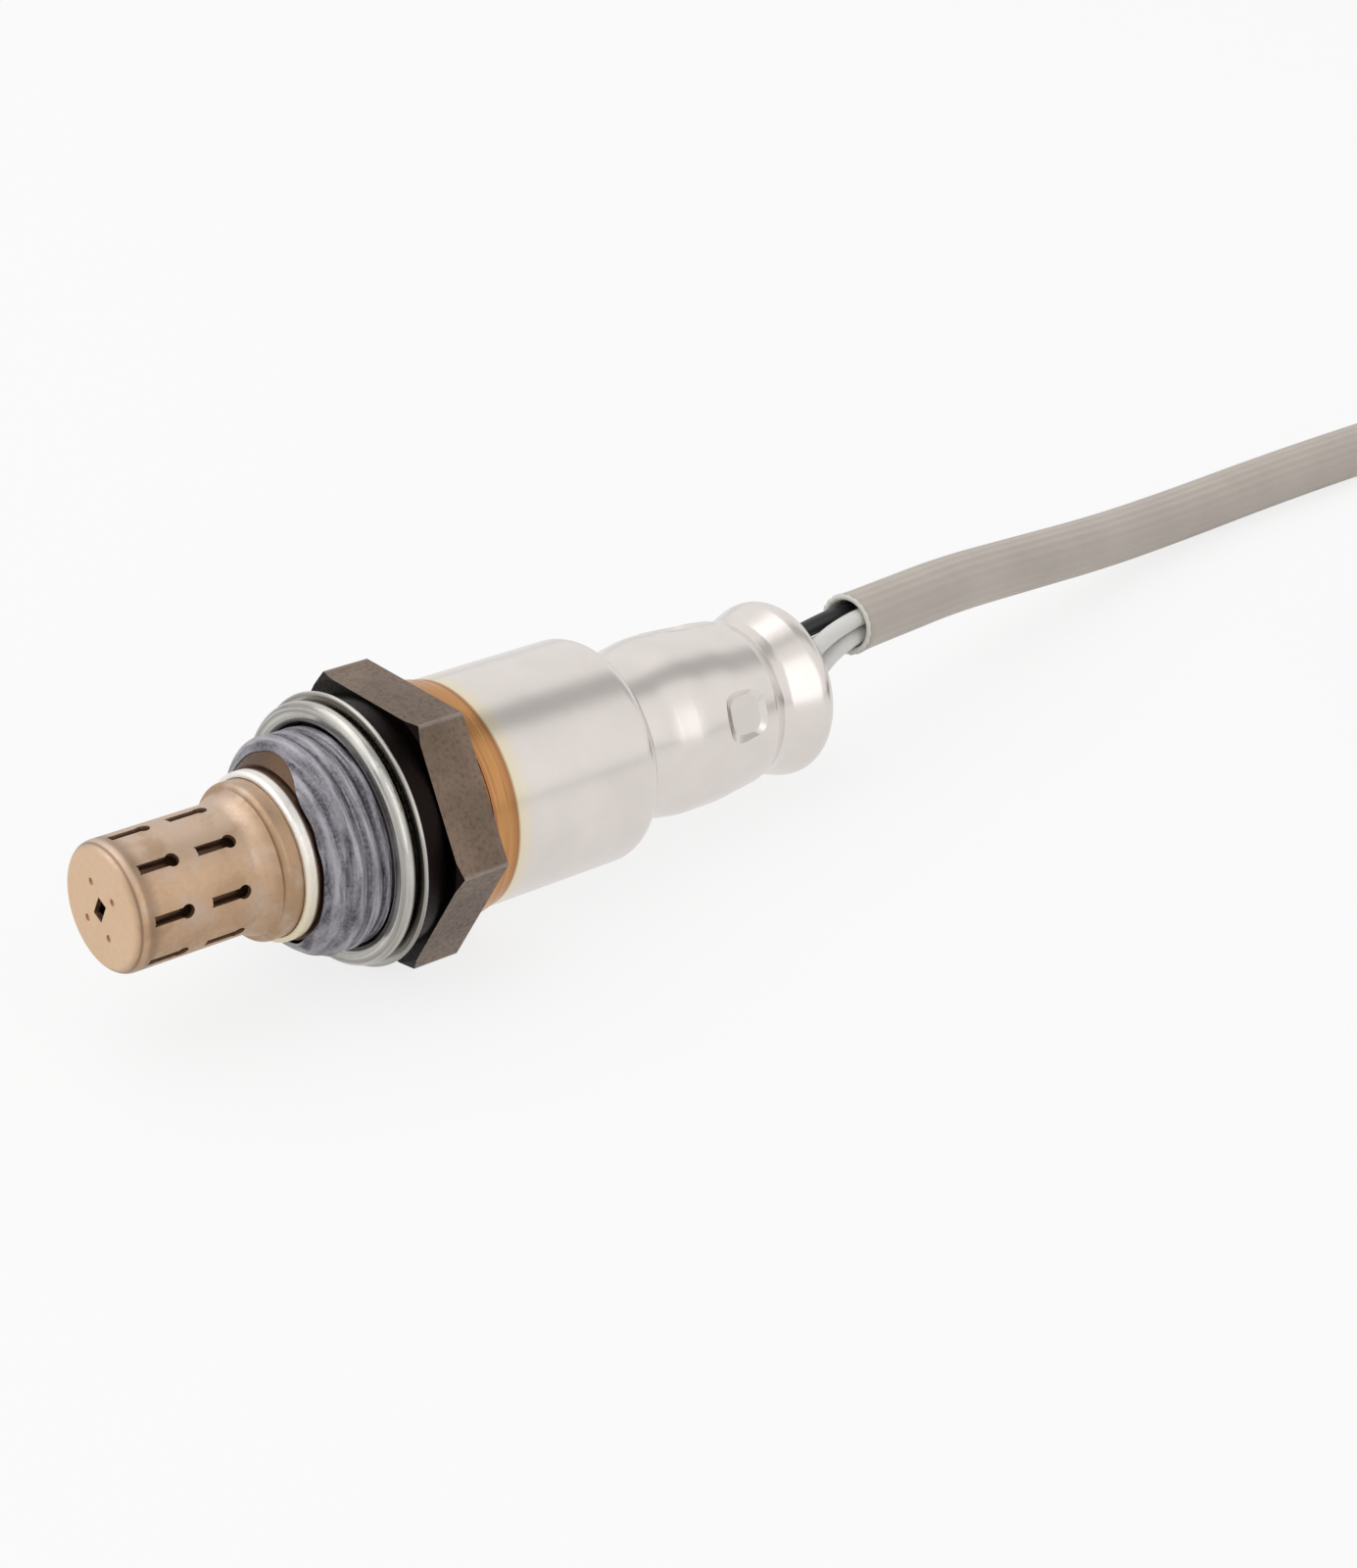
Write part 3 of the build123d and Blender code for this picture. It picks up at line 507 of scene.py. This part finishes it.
# ---------------------------------------------------------------- pieces
class SENSOR_OT_protector(bpy.types.Operator):
    """Heat-tinted louvred protector and the inner cup behind it"""

    bl_idname = "sensor.protector"
    bl_label = "Protector"

    def execute(self, context):
        _, tones = settings(context)
        outer, place, patch = drawn_steel("Protector steel", tones.protector,
                                          tones.protector_tint_and_shade, 0.42, 4.0)
        tree = outer.tree
        turn = maths(tree, "ABSOLUTE", place["Turn"])
        tone = mixed(tree, maths(tree, "MULTIPLY", patch["Patches"], 0.6), tones.protector,
                     tones.protector_tint_and_shade)
        # Painted reflection: the protector turns greyer towards its top.
        tone = mixed(tree, span(tree, turn, 1.1, 0.2, 0.0, 0.7), tone, tones.protector_grey_and_top_reflection)
        # Painted shade: the protector gets darker towards its underside.
        tone = mixed(tree, span(tree, turn, 1.5, 2.5, 0.0, 0.75), tone, tones.protector_tint_and_shade)
        along = place["Along"]
        tone = mixed(tree, span(tree, along, PROTECTOR_COLLAR, PROTECTOR_COLLAR + 0.6, 0.0, 0.75),
                     tone, tones.protector_tint_and_shade)
        cloud = node(tree, "ShaderNodeTexNoise", {"Vector": outer.place, "Scale": 330.0,
                                                  "Detail": 3.0}).outputs["Fac"]
        tone = mixed(tree, span(tree, cloud, 0.5, 0.68, 0.0, 0.7), tone, tones.protector_grey_and_top_reflection)
        tone = mixed(tree, span(tree, cloud, 0.42, 0.3, 0.0, 0.6), tone, tones.protector_tint_and_shade)
        # Painted shade: a darker band just behind the rounded edge of the tip.
        rim = maths(tree, "MULTIPLY",
                    span(tree, along, PROTECTOR_FRONT + 0.9, PROTECTOR_FRONT + 1.2),
                    span(tree, along, PROTECTOR_FRONT + 2.3, PROTECTOR_FRONT + 1.5))
        tone = mixed(tree, maths(tree, "MULTIPLY", rim, 0.55), tone,
                     shaded(tones.protector_tint_and_shade, 0.55))
        # Painted light: the end face is made paler.
        end = span(tree, along, PROTECTOR_FRONT + 0.3, PROTECTOR_FRONT + 0.05, 0.0, 0.85)
        tone = mixed(tree, end, tone, tones.protector_end_light)
        # Painted shade: the protector's inner surface takes the dark inside colour and is less
        # metallic.
        inside = maths(tree, "MULTIPLY",
                       span(tree, place["Out"], PROTECTOR_RADIUS - 0.1, PROTECTOR_RADIUS - 0.2),
                       span(tree, along, PROTECTOR_FRONT + 0.3, PROTECTOR_FRONT + 0.5))
        outer.base(mixed(tree, inside, tone, tones.inside_shade))
        outer.feed("Metallic", span(tree, inside, 0.0, 1.0, 1.0, 0.3))
        outer.on("outer_protector")
        inner, _, _ = drawn_steel("Inner steel", tones.inner, tones.protector_tint_and_shade, 0.4)
        inner.on("front_washer", "crimp_ring", "separator_clip")
        # Painted shade: the inner cup seen through the louvres is coloured dark all over.
        cup, _, _ = drawn_steel("Steel darkened as shade", tones.inside_shade, tones.inside_shade, 0.6)
        cup.shader.inputs["Metallic"].default_value = 0.3
        cup.on("inner_protector")
        return {"FINISHED"}


class SENSOR_OT_housing(bpy.types.Operator):
    """Brown housing with a front darkened by oxide and painted shadow, and a golden weld boss"""

    bl_idname = "sensor.housing"
    bl_label = "Housing"

    def execute(self, context):
        _, tones = settings(context)
        made, place, patch = drawn_steel("Housing steel", tones.housing, tones.housing, 0.4, 5.0)
        tree = made.tree
        along = place["Along"]
        brown = mixed(tree, patch["Patches"], tones.housing, shaded(tones.housing, 0.66))
        brown = mixed(tree, span(tree, patch["Specks"], 0.5, 0.95, 0.0, 0.22), brown,
                      tones.housing_oxide_and_shadow)
        # Paler specks along the hexagon's corners.
        corner = maths(tree, "COSINE", maths(tree, "MULTIPLY", place["Turn"], 6.0))
        pale_corners = maths(tree, "MULTIPLY", span(tree, corner, -0.992, -1.0),
                     span(tree, patch["Specks"], 0.1, 0.6, 0.05, 0.18))
        brown = mixed(tree, pale_corners, brown, tones.cover)
        # Painted shadow, partly dark oxide: faces turned to the tip, and the housing ahead of the
        # hexagon's front face, are darkened.
        facing = node(tree, "ShaderNodeVectorMath",
                      {0: node(tree, "ShaderNodeNewGeometry").outputs["True Normal"],
                       1: tuple(AXIS)}, operation="DOT_PRODUCT").outputs["Value"]
        front = maths(tree, "MAXIMUM", span(tree, facing, -0.25, -0.4),
                      span(tree, along, 0.02, 0.0))
        brown = mixed(tree, front, brown, tones.housing_oxide_and_shadow)
        brown = mixed(tree, span(tree, along, THREAD_REAR - 0.4, THREAD_REAR - 0.9), brown,
                      tones.neck)
        # Painted highlight: the lip ring is brightest along its top and turns straw-tinted below.
        ring = span(tree, maths(tree, "ABSOLUTE", place["Turn"]), 0.9, 2.2)
        lip = mixed(tree, ring, tones.lip, tones.straw)
        brown = mixed(tree, span(tree, along, LIP_REAR - 0.15, LIP_REAR - 0.35), brown, lip)
        brown = mixed(tree, span(tree, along, LIP_FRONT - 0.2, LIP_FRONT - 0.3), brown,
                      tones.neck)
        made.base(mixed(tree, span(tree, along, HEX_REAR - 0.01, HEX_REAR + 0.05), brown,
                        tones.weld_dark))
        made.bump(patch["Specks"], 0.00003, 0.4)
        made.on("housing")
        return {"FINISHED"}


PASTE_FRONT = -9.42
PASTE_REAR = -3.9
BARE_DEPTH = 1.05           # how far back the paste's front edge lies at the bare zone
BARE_TURN, BARE_HALF = -0.2, 0.6
THIN_TURN, THIN_HALF = -1.0, 0.9
LUMP_TURN, LUMP_SHARE, LUMP_HEIGHT = 2.6, 0.1, 0.5


def lead_in(along):
    """Radius of the housing under the paste: lead-in cone, then the thread's outside."""
    return min(THREAD_RADIUS, LEAD_IN_RADIUS + max(0.0, along - LEAD_IN_FRONT))


def hump(value, middle, half, power=2):
    """1 at the middle, falling to nothing beyond the half width."""
    return exp(-((value - middle) / half) ** power)


def paste_point(sizes, share, turn):
    """Point on the paste, from its front edge at share 0 to its rear edge at share 1."""
    pitch, film, ridge = sizes.pitch / MM, sizes.paste / MM, sizes.paste_ridge / MM
    around = Vector((cos(turn), sin(turn), 0))
    bare = hump(turn, BARE_TURN, BARE_HALF, 4)
    start = PASTE_FRONT + BARE_DEPTH * bare + 0.18 * noise.noise(around * 3.3)
    along = start + (PASTE_REAR - start) * share
    streak = noise.noise(Vector((along * 3.4, *(around * 1.8).xy)))
    blot = noise.noise(Vector((along * 0.7, *(around * 2.6).xy)))
    crest = (0.5 + 0.5 * cos(2 * pi * along / pitch - turn)) ** 0.8
    crest *= 0.9 - 0.9 * max(0.0, blot)
    ends = min(1.0, share * 22) * min(1.0, (1 - share) * 16)
    thin = 1 - 0.6 * hump(turn, THIN_TURN, THIN_HALF)
    lump = LUMP_HEIGHT * hump(turn, LUMP_TURN, 0.12) * hump(share, LUMP_SHARE, 0.1)
    coat = film + (ridge * crest + 0.09 * streak + 0.03) * ends * thin + lump
    return axial(along, lead_in(along) + max(0.02, coat), turn)


class SENSOR_OT_thread(bpy.types.Operator):
    """Turns of the thread under a coat of anti-seize paste"""

    bl_idname = "sensor.thread"
    bl_label = "Thread and paste"

    def execute(self, context):
        sizes, tones = settings(context)
        rows, columns = 190, 280
        points = [paste_point(sizes, row / (rows - 1), 2 * pi * column / columns - pi)
                  for row in range(rows) for column in range(columns)]
        paste = add_piece("thread_paste", points, grid_faces(rows, columns))
        made = Finish("Anti-seize paste", Roughness=0.42, Metallic=0.45)
        tree = made.tree
        place = effect(tree, "Sensor place", Vector=made.place)
        patch = effect(tree, "Mottle", Vector=made.place, Patch_scale=420.0, Speck_scale=3600.0)
        turns = effect(tree, "Thread turns", Along=place["Along"], Turn=place["Turn"],
                       Pitch=sizes.pitch / MM)["Crest"]
        fine = node(tree, "ShaderNodeTexNoise", {"Vector": node(
            tree, "ShaderNodeCombineXYZ",
            {0: maths(tree, "MULTIPLY", place["Along"], 2.8),
             1: maths(tree, "MULTIPLY", maths(tree, "COSINE", place["Turn"]), 2.2),
             2: maths(tree, "MULTIPLY", maths(tree, "SINE", place["Turn"]), 2.2)}).outputs[0],
            "Scale": 1.0, "Detail": 4.0, "Roughness": 0.55}).outputs["Fac"]
        # Painted shade and highlight: the grooves are darker and the crests paler, following the
        # thread's turns.
        bright = maths(tree, "ADD", maths(tree, "MULTIPLY", turns, 0.55),
                       span(tree, fine, 0.36, 0.64, -0.3, 0.5))
        bright = maths(tree, "ADD", bright,
                       maths(tree, "MULTIPLY", patch["Patches"], 0.2), clamp=True)
        tone = mixed(tree, bright, tones.paste_groove_shade, tones.paste)
        made.base(mixed(tree, maths(tree, "MULTIPLY", patch["Specks"], 0.25), tone,
                        shaded(tones.paste, 1.5)))
        made.bump(patch["Specks"], 0.00005, 0.5)
        made.bump(fine, 0.0002, 0.5)
        made.on(paste)
        return {"FINISHED"}


class SENSOR_OT_gasket(bpy.types.Operator):
    """Bright folded crush gasket"""

    bl_idname = "sensor.gasket"
    bl_label = "Gasket"

    def execute(self, context):
        _, tones = settings(context)
        made = Finish("Gasket steel", Metallic=1.0, Roughness=0.2)
        tree = made.tree
        place = effect(tree, "Sensor place", Vector=made.place)
        patch = effect(tree, "Mottle", Vector=made.place)
        marks = effect(tree, "Turning marks", Along=place["Out"], Turn=place["Turn"],
                       Marks_per_mm=2.6)["Height"]
        steel = mixed(tree, span(tree, marks, 0.35, 0.65), tones.gasket_dark, tones.gasket)
        made.base(mixed(tree, maths(tree, "MULTIPLY", patch["Patches"], 0.5), steel,
                        tones.gasket_dark))
        made.bump(patch["Specks"], 0.00001, 0.3)
        made.on("gasket")
        return {"FINISHED"}


class SENSOR_OT_cover(bpy.types.Operator):
    """Satin cover with a golden weld bead and a straw tint beside it"""

    bl_idname = "sensor.cover"
    bl_label = "Cover"

    def execute(self, context):
        _, tones = settings(context)
        made = Finish("Cover steel", Metallic=1.0, Roughness=0.25)
        tree = made.tree
        place = effect(tree, "Sensor place", Vector=made.place)
        patch = effect(tree, "Mottle", Vector=made.place)
        steel = mixed(tree, patch["Patches"], tones.cover, shaded(tones.cover, 0.93))
        along = place["Along"]
        steel = mixed(tree, span(tree, along, WELD_REAR + 2.2, WELD_REAR, smooth=True), steel,
                      tones.straw)
        ripple = effect(tree, "Turning marks", Along=along, Turn=place["Turn"],
                        Marks_per_mm=2.2)["Height"]
        weld = mixed(tree, span(tree, ripple, 0.3, 0.7), tones.weld, tones.weld_dark)
        rim = maths(tree, "MAXIMUM", span(tree, along, COVER_FRONT + 0.4, COVER_FRONT + 0.1),
                    span(tree, along, WELD_REAR - 0.3, WELD_REAR))
        weld = mixed(tree, rim, weld, tones.weld_dark)
        made.base(mixed(tree, span(tree, along, WELD_REAR + 0.3, WELD_REAR), steel, weld))
        made.bump(patch["Specks"], 0.000004, 0.3)
        made.on("cover")
        return {"FINISHED"}


class SENSOR_OT_inside(bpy.types.Operator):
    """Sensing element, heater, seals, contacts and separator"""

    bl_idname = "sensor.inside"
    bl_label = "Inner pieces"

    def execute(self, context):
        _, tones = settings(context)
        for name, tone, rough, nodes in (
                ("White ceramic", tones.ceramic, 0.7,
                 ("heater_rod", "ceramic_bush", "ceramic_separator")),
                ("Coated zirconia", shaded(tones.ceramic, 0.9), 0.85, ("zirconia_element",)),
                ("Pressed talc", shaded(tones.ceramic, 0.75), 0.95, ("talc_ring",)),
                ("Black rubber", tones.rubber, 0.6, ("grommet",))):
            mottled(name, tone, rough, share=0.4, shade=0.8, grain=0.00003,
                    strength=0.5).on(*nodes)
        contact, _, _ = drawn_steel("Nickel", tones.inner, tones.cover, 0.3)
        contact.on("outer_contact", "inner_contact", "heater_contact_a", "heater_contact_b")
        return {"FINISHED"}


# ---------------------------------------------------------------- cable
# Everything here is in millimetres. The sleeve lies loose on the floor from its fifth point on.
SLEEVE_ROUTE = (
    (44.5, 0.5, 11.5), (51.2, 1.2, 11.0), (61.2, 3.4, 9.5), (74.1, 5.5, 7.1),
    (88.1, 7.6, 4.6), (101.9, 9.1, 3.1), (115.7, 9.2, 2.8), (129.4, 8.4, 2.8),
    (148.6, 6.7, 2.8), (166.0, 1.9, 2.8), (176.2, -10.4, 2.8), (176.2, -26.1, 2.8),
    (166.7, -39.2, 2.8), (151.3, -44.2, 2.8), (135.5, -45.0, 2.9),
)
PLUG_REAR = (117.5, -45.0, 6.5)
PLUG_RUN = (3.0, -7.0)      # a wire's last two points, behind the plug's rear face and in it
PLUG_PITCH = 4.2
WIRE_PITCH = 3.1            # from the sensor's axis to a wire, inside the cover
WIRE_START = 24.45          # rear end of the crimp barrels
WIRE_GUIDE = 2.0            # straight run inside the grommet's rear end
WIRE_LEAVE = 3.9            # straight run behind the grommet
SLEEVE_LEAD = 2.6           # how far the wires keep together past each end of the sleeve
BUNDLE = 0.86               # from the sleeve's middle to a wire, across and up
SLEEVE_STEP = 1.2
SLEEVE_FLARE = 0.12         # the front end's radius is larger by this much
SLEEVE_COLUMNS = 156
WIRES = (("wire_black", -45, "black", "black_insulation"),
         ("wire_white_a", 45, "white", "white_insulation"),
         ("wire_white_b", 135, "white", "white_insulation"),
         ("wire_grey", 225, "grey", "grey_insulation"))


def beside(points, across, above):
    """The route's points moved sideways and up, square to the route at each point."""
    runs = [(b - a).normalized() for a, b in zip(points, points[1:])]
    side = runs[0].cross(Vector((0, 0, 1))).normalized()
    offset = side * across + side.cross(runs[0]) * above
    moved = [points[0] + offset]
    for here, run, onward in zip(points[1:], runs, runs[1:]):
        hinge = run.cross(onward).normalized()
        level, reach = offset.dot(hinge), offset.dot(hinge.cross(run))
        bisector = (onward - run).normalized()
        moved.append(here + hinge * level + bisector * (reach / cos(run.angle(onward) / 2)))
        offset = hinge * level + hinge.cross(onward) * reach
    return moved + [points[-1] + offset]


def wire_route(angle):
    """From the crimp barrel through the grommet and the sleeve to the plug, in millimetres."""
    turn = radians(angle)
    across = -1 if sin(turn) < 0 else 1
    above = 1 if cos(turn) > 0 else -1
    route = [Vector(p) for p in SLEEVE_ROUTE]
    first, last = (route[1] - route[0]).normalized(), (route[-1] - route[-2]).normalized()
    route[0] -= first * SLEEVE_LEAD
    route[-1] += last * SLEEVE_LEAD
    inside = beside(route, across * BUNDLE, above * BUNDLE)
    start = [axial(along, WIRE_PITCH, turn) / MM
             for along in (WIRE_START, GROMMET_REAR - WIRE_GUIDE, GROMMET_REAR + WIRE_LEAVE)]
    y, z = across * PLUG_PITCH / 2, above * PLUG_PITCH / 2
    end = [Vector(PLUG_REAR) + Vector((x, y, z)) for x in PLUG_RUN]
    return start + inside + end


class SENSOR_OT_wires(bpy.types.Operator):
    """Four insulated wires from the grommet to the plug"""

    bl_idname = "sensor.wires"
    bl_label = "Wires"

    def execute(self, context):
        sizes, tones = settings(context)
        finishes = {}
        for key, tone in (("black", tones.black), ("grey", tones.grey), ("white", tones.white)):
            finishes[key] = mottled(f"{key.title()} insulation", tone, 0.42, share=0.3,
                                    shade=0.85, grain=0.00001, strength=0.3)
        for name, angle, key, slot in WIRES:
            route = [p * MM for p in wire_route(angle)]
            line = centre_line(route)
            wire = spline(f"{name}_insulation", route, sizes.wire)
            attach(wire, "root")
            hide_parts(name)
            finishes[key].on(wire)
        return {"FINISHED"}


class SENSOR_OT_sleeve(bpy.types.Operator):
    """Ribbed sleeve round the wires, cut off square at both ends and a little flared at the sensor
    """

    bl_idname = "sensor.sleeve"
    bl_label = "Sleeve"

    def execute(self, context):
        sizes, tones = settings(context)
        line = resampled(centre_line([Vector(p) * MM for p in SLEEVE_ROUTE]), SLEEVE_STEP * MM)
        ways = frames_along(line)
        columns = SLEEVE_COLUMNS
        outer, inner = [], []
        for index, (centre, (way, side, lift)) in enumerate(zip(line, ways)):
            flare = SLEEVE_FLARE * MM * max(0.0, 1 - index / 2) ** 2
            for column in range(columns):
                turn = 2 * pi * column / columns
                rib = cos(sizes.ribs * turn) * sizes.sleeve_rib
                out = side * sin(turn) + lift * cos(turn)
                outer.append(centre + out * (sizes.sleeve / 2 - sizes.sleeve_rib + rib + flare))
                inner.append(centre + out * (sizes.sleeve / 2 - sizes.sleeve_wall + flare))
        rows = len(line)
        points = outer + inner
        skin = grid_faces(rows, columns)
        shift = rows * columns
        faces = [tuple(reversed(f)) for f in skin]
        faces += [tuple(i + shift for i in f) for f in skin]
        for row, flip in ((0, False), (rows - 1, True)):
            for column in range(columns):
                a = row * columns + column
                b = row * columns + (column + 1) % columns
                ring = (a, b, b + shift, a + shift)
                faces.append(tuple(reversed(ring)) if flip else ring)
        sleeve = add_piece("ribbed_sleeve", points, faces)
        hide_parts("wire_sleeve")
        mottled("Sleeve tube", tones.sleeve, 0.55, share=1.0, shade=0.88, grain=0.00002,
                strength=0.4, patches=120.0).on(sleeve)
        lining = mottled("Sleeve lining", tones.lining, 0.6, share=0.3, shade=0.85)
        sleeve.data.materials.append(lining.material)
        for face in sleeve.data.polygons:
            face.material_index = 1 if face.index >= len(skin) else 0
        return {"FINISHED"}


class SENSOR_OT_plug(bpy.types.Operator):
    """Plug at the cable's end"""

    bl_idname = "sensor.plug"
    bl_label = "Plug"

    def execute(self, context):
        _, tones = settings(context)
        for name, tone, rough, nodes in (
                ("Plug plastic", tones.plug, 0.45, ("plug_body",)),
                ("Lock plastic", tones.lock, 0.45, ("terminal_lock",)),
                ("Red silicone", tones.seal, 0.5, ("nose_seal", "wire_seals"))):
            mottled(name, tone, rough, share=0.4, shade=0.8, grain=0.00003,
                    strength=0.6).on(*nodes)
        mottled("Plated brass", tones.brass, 0.3, share=1.0, shade=0.85,
                metal=1.0).on("plug_terminals")
        return {"FINISHED"}


# ---------------------------------------------------------------- stage
FLOOR_HALF = 3.0
AIM = (0.02, 0.0, 0.0)
KEY_PLACE, KEY_SIZE = (-0.35, 0.35, 0.95), (1.7, 1.7)
FILL_PLACE, FILL_SIZE = (0.15, -1.0, 0.42), (0.62, 1.5)


def soft_light(name, place, size, power):
    """Large oval lamp aimed at the sensor."""
    data = bpy.data.lights.new(name, "AREA")
    data.shape = "ELLIPSE"
    data.size, data.size_y = size
    data.energy = power
    lamp = bpy.data.objects.new(name, data)
    bpy.context.scene.collection.objects.link(lamp)
    lamp.location = place
    lamp.rotation_euler = (Vector(AIM) - Vector(place)).to_track_quat("-Z", "Y").to_euler()
    return lamp


class SENSOR_OT_stage(bpy.types.Operator):
    """Floor, soft lights, sky and camera"""

    bl_idname = "sensor.stage"
    bl_label = "Stage"

    def execute(self, context):
        stage = context.scene.sensor_stage
        floor = add_stage_floor(stage)
        soft_light("key", KEY_PLACE, KEY_SIZE, stage.key)
        soft_light("fill", FILL_PLACE, FILL_SIZE, stage.fill)
        sky(context.scene, stage)
        data = bpy.data.cameras.new("camera")
        data.lens = stage.lens
        data.sensor_width = 36.0
        data.clip_start = 0.01
        camera = bpy.data.objects.new("camera", data)
        context.scene.collection.objects.link(camera)
        camera.location = stage.camera_place
        camera.rotation_euler = stage.camera_turn
        context.scene.camera = camera
        context.scene.view_settings.view_transform = "Standard"
        return {"FINISHED"}


def seen_plainly(tree):
    """1 for camera, glossy and transmission rays, and 0 for the rest."""
    ray = node(tree, "ShaderNodeLightPath").outputs
    both = maths(tree, "MAXIMUM", ray["Is Camera Ray"], ray["Is Glossy Ray"])
    return maths(tree, "MAXIMUM", both, ray["Is Transmission Ray"])


def add_stage_floor(stage):
    """Plain pale floor that shows nearly white and keeps a soft shadow."""
    half = FLOOR_HALF
    mesh = bpy.data.meshes.new("floor")
    mesh.from_pydata([(-half, -half, 0), (half, -half, 0), (half, half, 0), (-half, half, 0)],
                     [], [(0, 1, 2, 3)])
    floor = bpy.data.objects.new("floor", mesh)
    bpy.context.scene.collection.objects.link(floor)
    material = bpy.data.materials.new("Floor")
    material.use_nodes = True
    tree = material.node_tree
    shader = tree.nodes["Principled BSDF"]
    shader.inputs["Base Color"].default_value = (*stage.floor, 1)
    shader.inputs["Roughness"].default_value = 0.9
    shader.inputs["Specular IOR Level"].default_value = 0.0
    glow = node(tree, "ShaderNodeEmission", {"Color": (1, 1, 1, 1), "Strength": 1.0})
    share = maths(tree, "MULTIPLY", seen_plainly(tree), 0.8)
    both = node(tree, "ShaderNodeMixShader", {0: share})
    link(tree, shader.outputs[0], both.inputs[1])
    link(tree, glow.outputs[0], both.inputs[2])
    link(tree, both.outputs[0], tree.nodes["Material Output"].inputs["Surface"])
    mesh.materials.append(material)
    return floor


def sky(scene, stage):
    """Even light from all round, white behind the object, with a dim gap overhead."""
    world = bpy.data.worlds.new("sky")
    world.use_nodes = True
    tree = world.node_tree
    back = tree.nodes["Background"]
    back.inputs["Color"].default_value = (1, 1, 1, 1)
    way = node(tree, "ShaderNodeSeparateXYZ",
               {0: node(tree, "ShaderNodeTexCoord").outputs["Generated"]}).outputs
    off = maths(tree, "ABSOLUTE", maths(tree, "SUBTRACT", way["Y"], stage.gap_place))
    gap = span(tree, off, stage.gap_width, stage.gap_width * 0.25, smooth=True)
    gap = maths(tree, "MULTIPLY", gap, span(tree, way["Z"], 0.2, 0.5, smooth=True))
    low = span(tree, way["Z"], 0.07, 0.02, smooth=True)
    dim = maths(tree, "MAXIMUM", maths(tree, "MULTIPLY", gap, stage.gap_depth),
                maths(tree, "MULTIPLY", low, 0.5))
    plain = node(tree, "ShaderNodeLightPath").outputs["Is Camera Ray"]
    shown = maths(tree, "MAXIMUM", maths(tree, "SUBTRACT", 1.0, dim), plain)
    seen = seen_plainly(tree)
    strength = maths(tree, "ADD", maths(tree, "MULTIPLY", seen, shown),
                     maths(tree, "MULTIPLY", maths(tree, "SUBTRACT", 1.0, seen), stage.sky))
    link(tree, strength, back.inputs["Strength"])
    scene.world = world


# ---------------------------------------------------------------- add-on
OPERATORS = (SENSOR_OT_protector, SENSOR_OT_housing, SENSOR_OT_thread, SENSOR_OT_gasket,
             SENSOR_OT_cover, SENSOR_OT_inside, SENSOR_OT_wires, SENSOR_OT_sleeve,
             SENSOR_OT_plug, SENSOR_OT_stage)
GROUPS = {"sensor_sizes": SensorSizes, "sensor_colours": SensorColours,
          "sensor_stage": SensorStage}


class SENSOR_PT_panel(bpy.types.Panel):
    """Lists the sensor's settings and pieces"""

    bl_idname = "SENSOR_PT_panel"
    bl_label = "Oxygen sensor"
    bl_space_type = "VIEW_3D"
    bl_region_type = "UI"
    bl_category = "Sensor"

    def draw(self, context):
        for name, group in GROUPS.items():
            box = self.layout.box()
            box.label(text=group.__doc__)
            for key in group.__annotations__:
                box.prop(getattr(context.scene, name), key)
        for operator in OPERATORS:
            self.layout.operator(operator.bl_idname)


def register():
    for item in (*GROUPS.values(), *OPERATORS, SENSOR_PT_panel):
        bpy.utils.register_class(item)
    for name, group in GROUPS.items():
        setattr(bpy.types.Scene, name, bpy.props.PointerProperty(type=group))


def unregister():
    for name in GROUPS:
        delattr(bpy.types.Scene, name)
    for item in reversed((*GROUPS.values(), *OPERATORS, SENSOR_PT_panel)):
        bpy.utils.unregister_class(item)


def main():
    register()
    bpy.ops.sensor.protector()
    bpy.ops.sensor.housing()
    bpy.ops.sensor.thread()
    bpy.ops.sensor.gasket()
    bpy.ops.sensor.cover()
    bpy.ops.sensor.inside()
    bpy.ops.sensor.wires()
    bpy.ops.sensor.sleeve()
    bpy.ops.sensor.plug()
    bpy.ops.sensor.stage()


if __name__ == "__main__":
    main()
